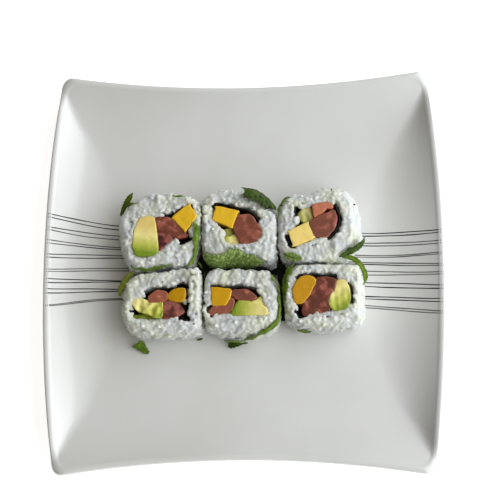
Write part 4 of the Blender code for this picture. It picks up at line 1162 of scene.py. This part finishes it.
def makeLeaves(finishes):
    for name, (rollName, line, half, lifts, kind) in leaves["onRolls"].items():
        def spotAt(share, side, rollName=rollName, line=line, half=half):
            angle, place = alongLine(line, share)
            return skinSpot(rollName, angle, place + side * half * leafShape(share))

        middle = nodeMiddle(rollName + "_rice")
        steps = 6  # to measure it by
        ends = [skinSpot(rollName, *alongLine(line, i / steps)) for i in range(steps + 1)]
        length = sum((b - a).length for a, b in zip(ends, ends[1:])) / mm
        lifted = [lift + leaves["clear"] for lift in lifts]
        makeLeaf(name, spotAt, length, half * leaves["stepWidth"], lifted,
                 lambda grid: grid - np.array(middle), finishes[kind], leaves["puff"][kind],
                 leaves["smoothOnRolls"])
    for name, (line, wide, halves, kind) in leaves["free"].items():
        def spotAt(share, side, line=line, wide=wide, halves=halves):
            start, end = max(0.0, share - leaves["guideStep"]), min(1.0, share + leaves["guideStep"])
            ahead = alongLine(line, end) - alongLine(line, start)
            widthWay = (Vector(wide) - Vector(wide).project(ahead)).normalized()
            place = share * (len(halves) - 1)
            first = min(int(place), len(halves) - 2)
            right, left = mixPair(halves[first], halves[first + 1], place - first)
            return (alongLine(line, share) + widthWay * mix(-left, right, (side + 1) / 2)) * mm

        length = sum((Vector(b) - Vector(a)).length for a, b in zip(line, line[1:]))
        makeLeaf(name, spotAt, length, 2 * max(max(pair) for pair in halves), [leaves["freeLift"]] * 2,
                 lambda grid: np.broadcast_to(np.array(leaves["freeUp"]), grid.shape),
                 finishes[kind], leaves["puff"][kind], leaves["smoothFree"])


def makeSpecks(finish):
    made = bmesh.new()
    for x, y, height, half in leaves["specks"]:
        size = Matrix.Diagonal([half * share for share in leaves["speckForm"]] + [1]) @ Matrix.Scale(mm, 4)
        bmesh.ops.create_icosphere(made, subdivisions=2, radius=1.0,
                                   matrix=Matrix.Translation(Vector((x, y, height)) * mm) @ size)
    addPiece("leaf_specks", meshOf(made, "leaf_specks"), finish, "mint_leaf")


# Studio: a pale floor that glows a little, as paper lit from behind does, soft light from the right, high
# and low, and a room that goes from dark on the left to white on the right
studio = {
    "floorSize": 4000, "floorColour": "#F4F4F2", "floorGlow": 0.62,
    "keyPlace": (900, 200, 760), "keySize": (1500, 1100), "keyPower": 9.4,
    "lowPlace": (1050, -420, 450), "lowSize": (1300, 500), "lowPower": 4.1,
    "lampColour": "#F2F7FF", "worldReach": 0.7, "worldStrength": 1.1,
    "worldTones": [(0.0, "#2A2621"), (1.0, "#FDFDFD"), (0.35, "#7E766A")],
}


def makeStudio():
    finish, tree, shader = newMaterial("palePaper", {
        "Roughness": 0.8, "Emission Color": linearColour("#FFFFFF"),
        "Emission Strength": studio["floorGlow"]})
    spots = addNode(tree, "ShaderNodeTexCoord")
    cloud = addNode(tree, "ShaderNodeTexNoise", {"Scale": 3.0}, {"Vector": spots.outputs["Object"]})
    tone = addNode(tree, "ShaderNodeValToRGB", {"stops": [(0.3, "#F0F0EE"), (0.7, studio["floorColour"])]},
                   {"Fac": cloud.outputs["Fac"]})
    tree.links.new(tone.outputs["Color"], shader.inputs["Base Color"])
    half = studio["floorSize"] / 2 * mm
    mesh = bpy.data.meshes.new("floor")
    corners = [(-half, -half, 0), (half, -half, 0), (half, half, 0), (-half, half, 0)]
    mesh.from_pydata(corners, [], [(0, 1, 2, 3)])
    mesh.materials.append(finish)
    addObject("floor", mesh)
    for name in ("key", "low"):
        lamp = bpy.data.lights.new(name, "AREA")
        lamp.shape = "RECTANGLE"
        lamp.size, lamp.size_y = (side * mm for side in studio[name + "Size"])
        lamp.energy = studio[name + "Power"]
        lamp.color = linearColour(studio["lampColour"])[:3]
        holder = addObject(name, lamp)
        holder.location = Vector(studio[name + "Place"]) * mm
        holder.rotation_euler = (-holder.location).to_track_quat("-Z", "Y").to_euler()
    world = bpy.data.worlds.new("studio")
    world.use_nodes = True
    tree = world.node_tree
    sky = addNode(tree, "ShaderNodeTexCoord")
    parts = addNode(tree, "ShaderNodeSeparateXYZ", links={"Vector": sky.outputs["Generated"]})
    share = addNode(tree, "ShaderNodeMapRange", {
        "From Min": -studio["worldReach"], "From Max": studio["worldReach"]}, {"Value": parts.outputs["X"]})
    tone = addNode(tree, "ShaderNodeValToRGB", {"stops": studio["worldTones"]}, {"Fac": share.outputs[0]})
    glow = tree.nodes["Background"]
    glow.inputs["Strength"].default_value = studio["worldStrength"]
    tree.links.new(tone.outputs["Color"], glow.inputs["Color"])
    bpy.context.scene.world = world
    bpy.context.scene.view_settings.view_transform = "Standard"


# Camera: looks down from the near side, a little from the right
view = {
    "aim": (3.3, 15.9, 0.0), "distance": 1000.0, "tiltNear": 12.7, "tiltRight": 3.4, "roll": 0.05,
    "focalPixels": 1583.0, "framePixels": 500, "sensor": 36.0, "clipStart": 0.05,
}


def makeCamera():
    near, right = math.sin(math.radians(view["tiltNear"])), math.sin(math.radians(view["tiltRight"]))
    back = Vector((right, -near, math.sqrt(1 - near * near - right * right)))
    sideWay = Vector((0, 1, 0)).cross(back).normalized()
    upWay = back.cross(sideWay)
    turn = Matrix((sideWay, upWay, back)).transposed() @ Matrix.Rotation(math.radians(view["roll"]), 3, "Z")
    data = bpy.data.cameras.new("camera")
    data.sensor_width = view["sensor"]
    data.lens = view["focalPixels"] / view["framePixels"] * view["sensor"]
    data.clip_start = view["clipStart"]
    camera = addObject("camera", data)
    place = (Vector(view["aim"]) + back * view["distance"]) * mm
    camera.matrix_world = Matrix.Translation(place) @ turn.to_4x4()
    bpy.context.scene.camera = camera


def build():
    makePlate(makePorcelain())
    makeLines(makeStain())
    print("plate and its lines made")
    riceFinish, noriFinish = makeRice(), makeNori()
    template = grainTemplate()
    for seed, name in enumerate(rollNames, start=1):
        makeRollRice(name, riceFinish, seed, template)
        makeNoriSheet(name, noriFinish)
    print("rice and seaweed made")
    finishes = {"avocado": makeAvocado(), "tuna": makeTuna(), "mango": makeMango()}
    outlines = {name: smoothLoop(stickOutline(name), fillings["edgeSteps"]) for name in fillings["pieces"]}
    for name in fillings["pieces"]:
        kind = name.split("_")[2]
        makeStick(name, finishes[kind], kind, outlines)
    print("fillings made")
    mints = {
        "mint": makeMint("freshMint", "#2E4A04", "#587810", "#7C9434"),
        "young": makeMint("youngMint", "#6A7E0E", "#9CAA38", "#B4BC62"),
        "dark": makeMint("shadedMint", "#141F02", "#2C400A", "#546A26"),
        # near black: painted shade for the leaves put low in the gaps between the rolls
        "deep": makeMint("gapShadeMint", "#060A02", "#10180A", "#141C0A"),
        # a mint leaf's paler underside, made paler still as painted light for leaves that stand in the
        # rolls' shade
        "grey": makeMint("litMintUnderside", "#86A048", "#A6BC74", "#46602C"),
    }
    makeLeaves(mints)
    makeSpecks(mints["dark"])
    print("leaves made")
    makeStudio()
    makeCamera()
    print("studio and camera made")


build()
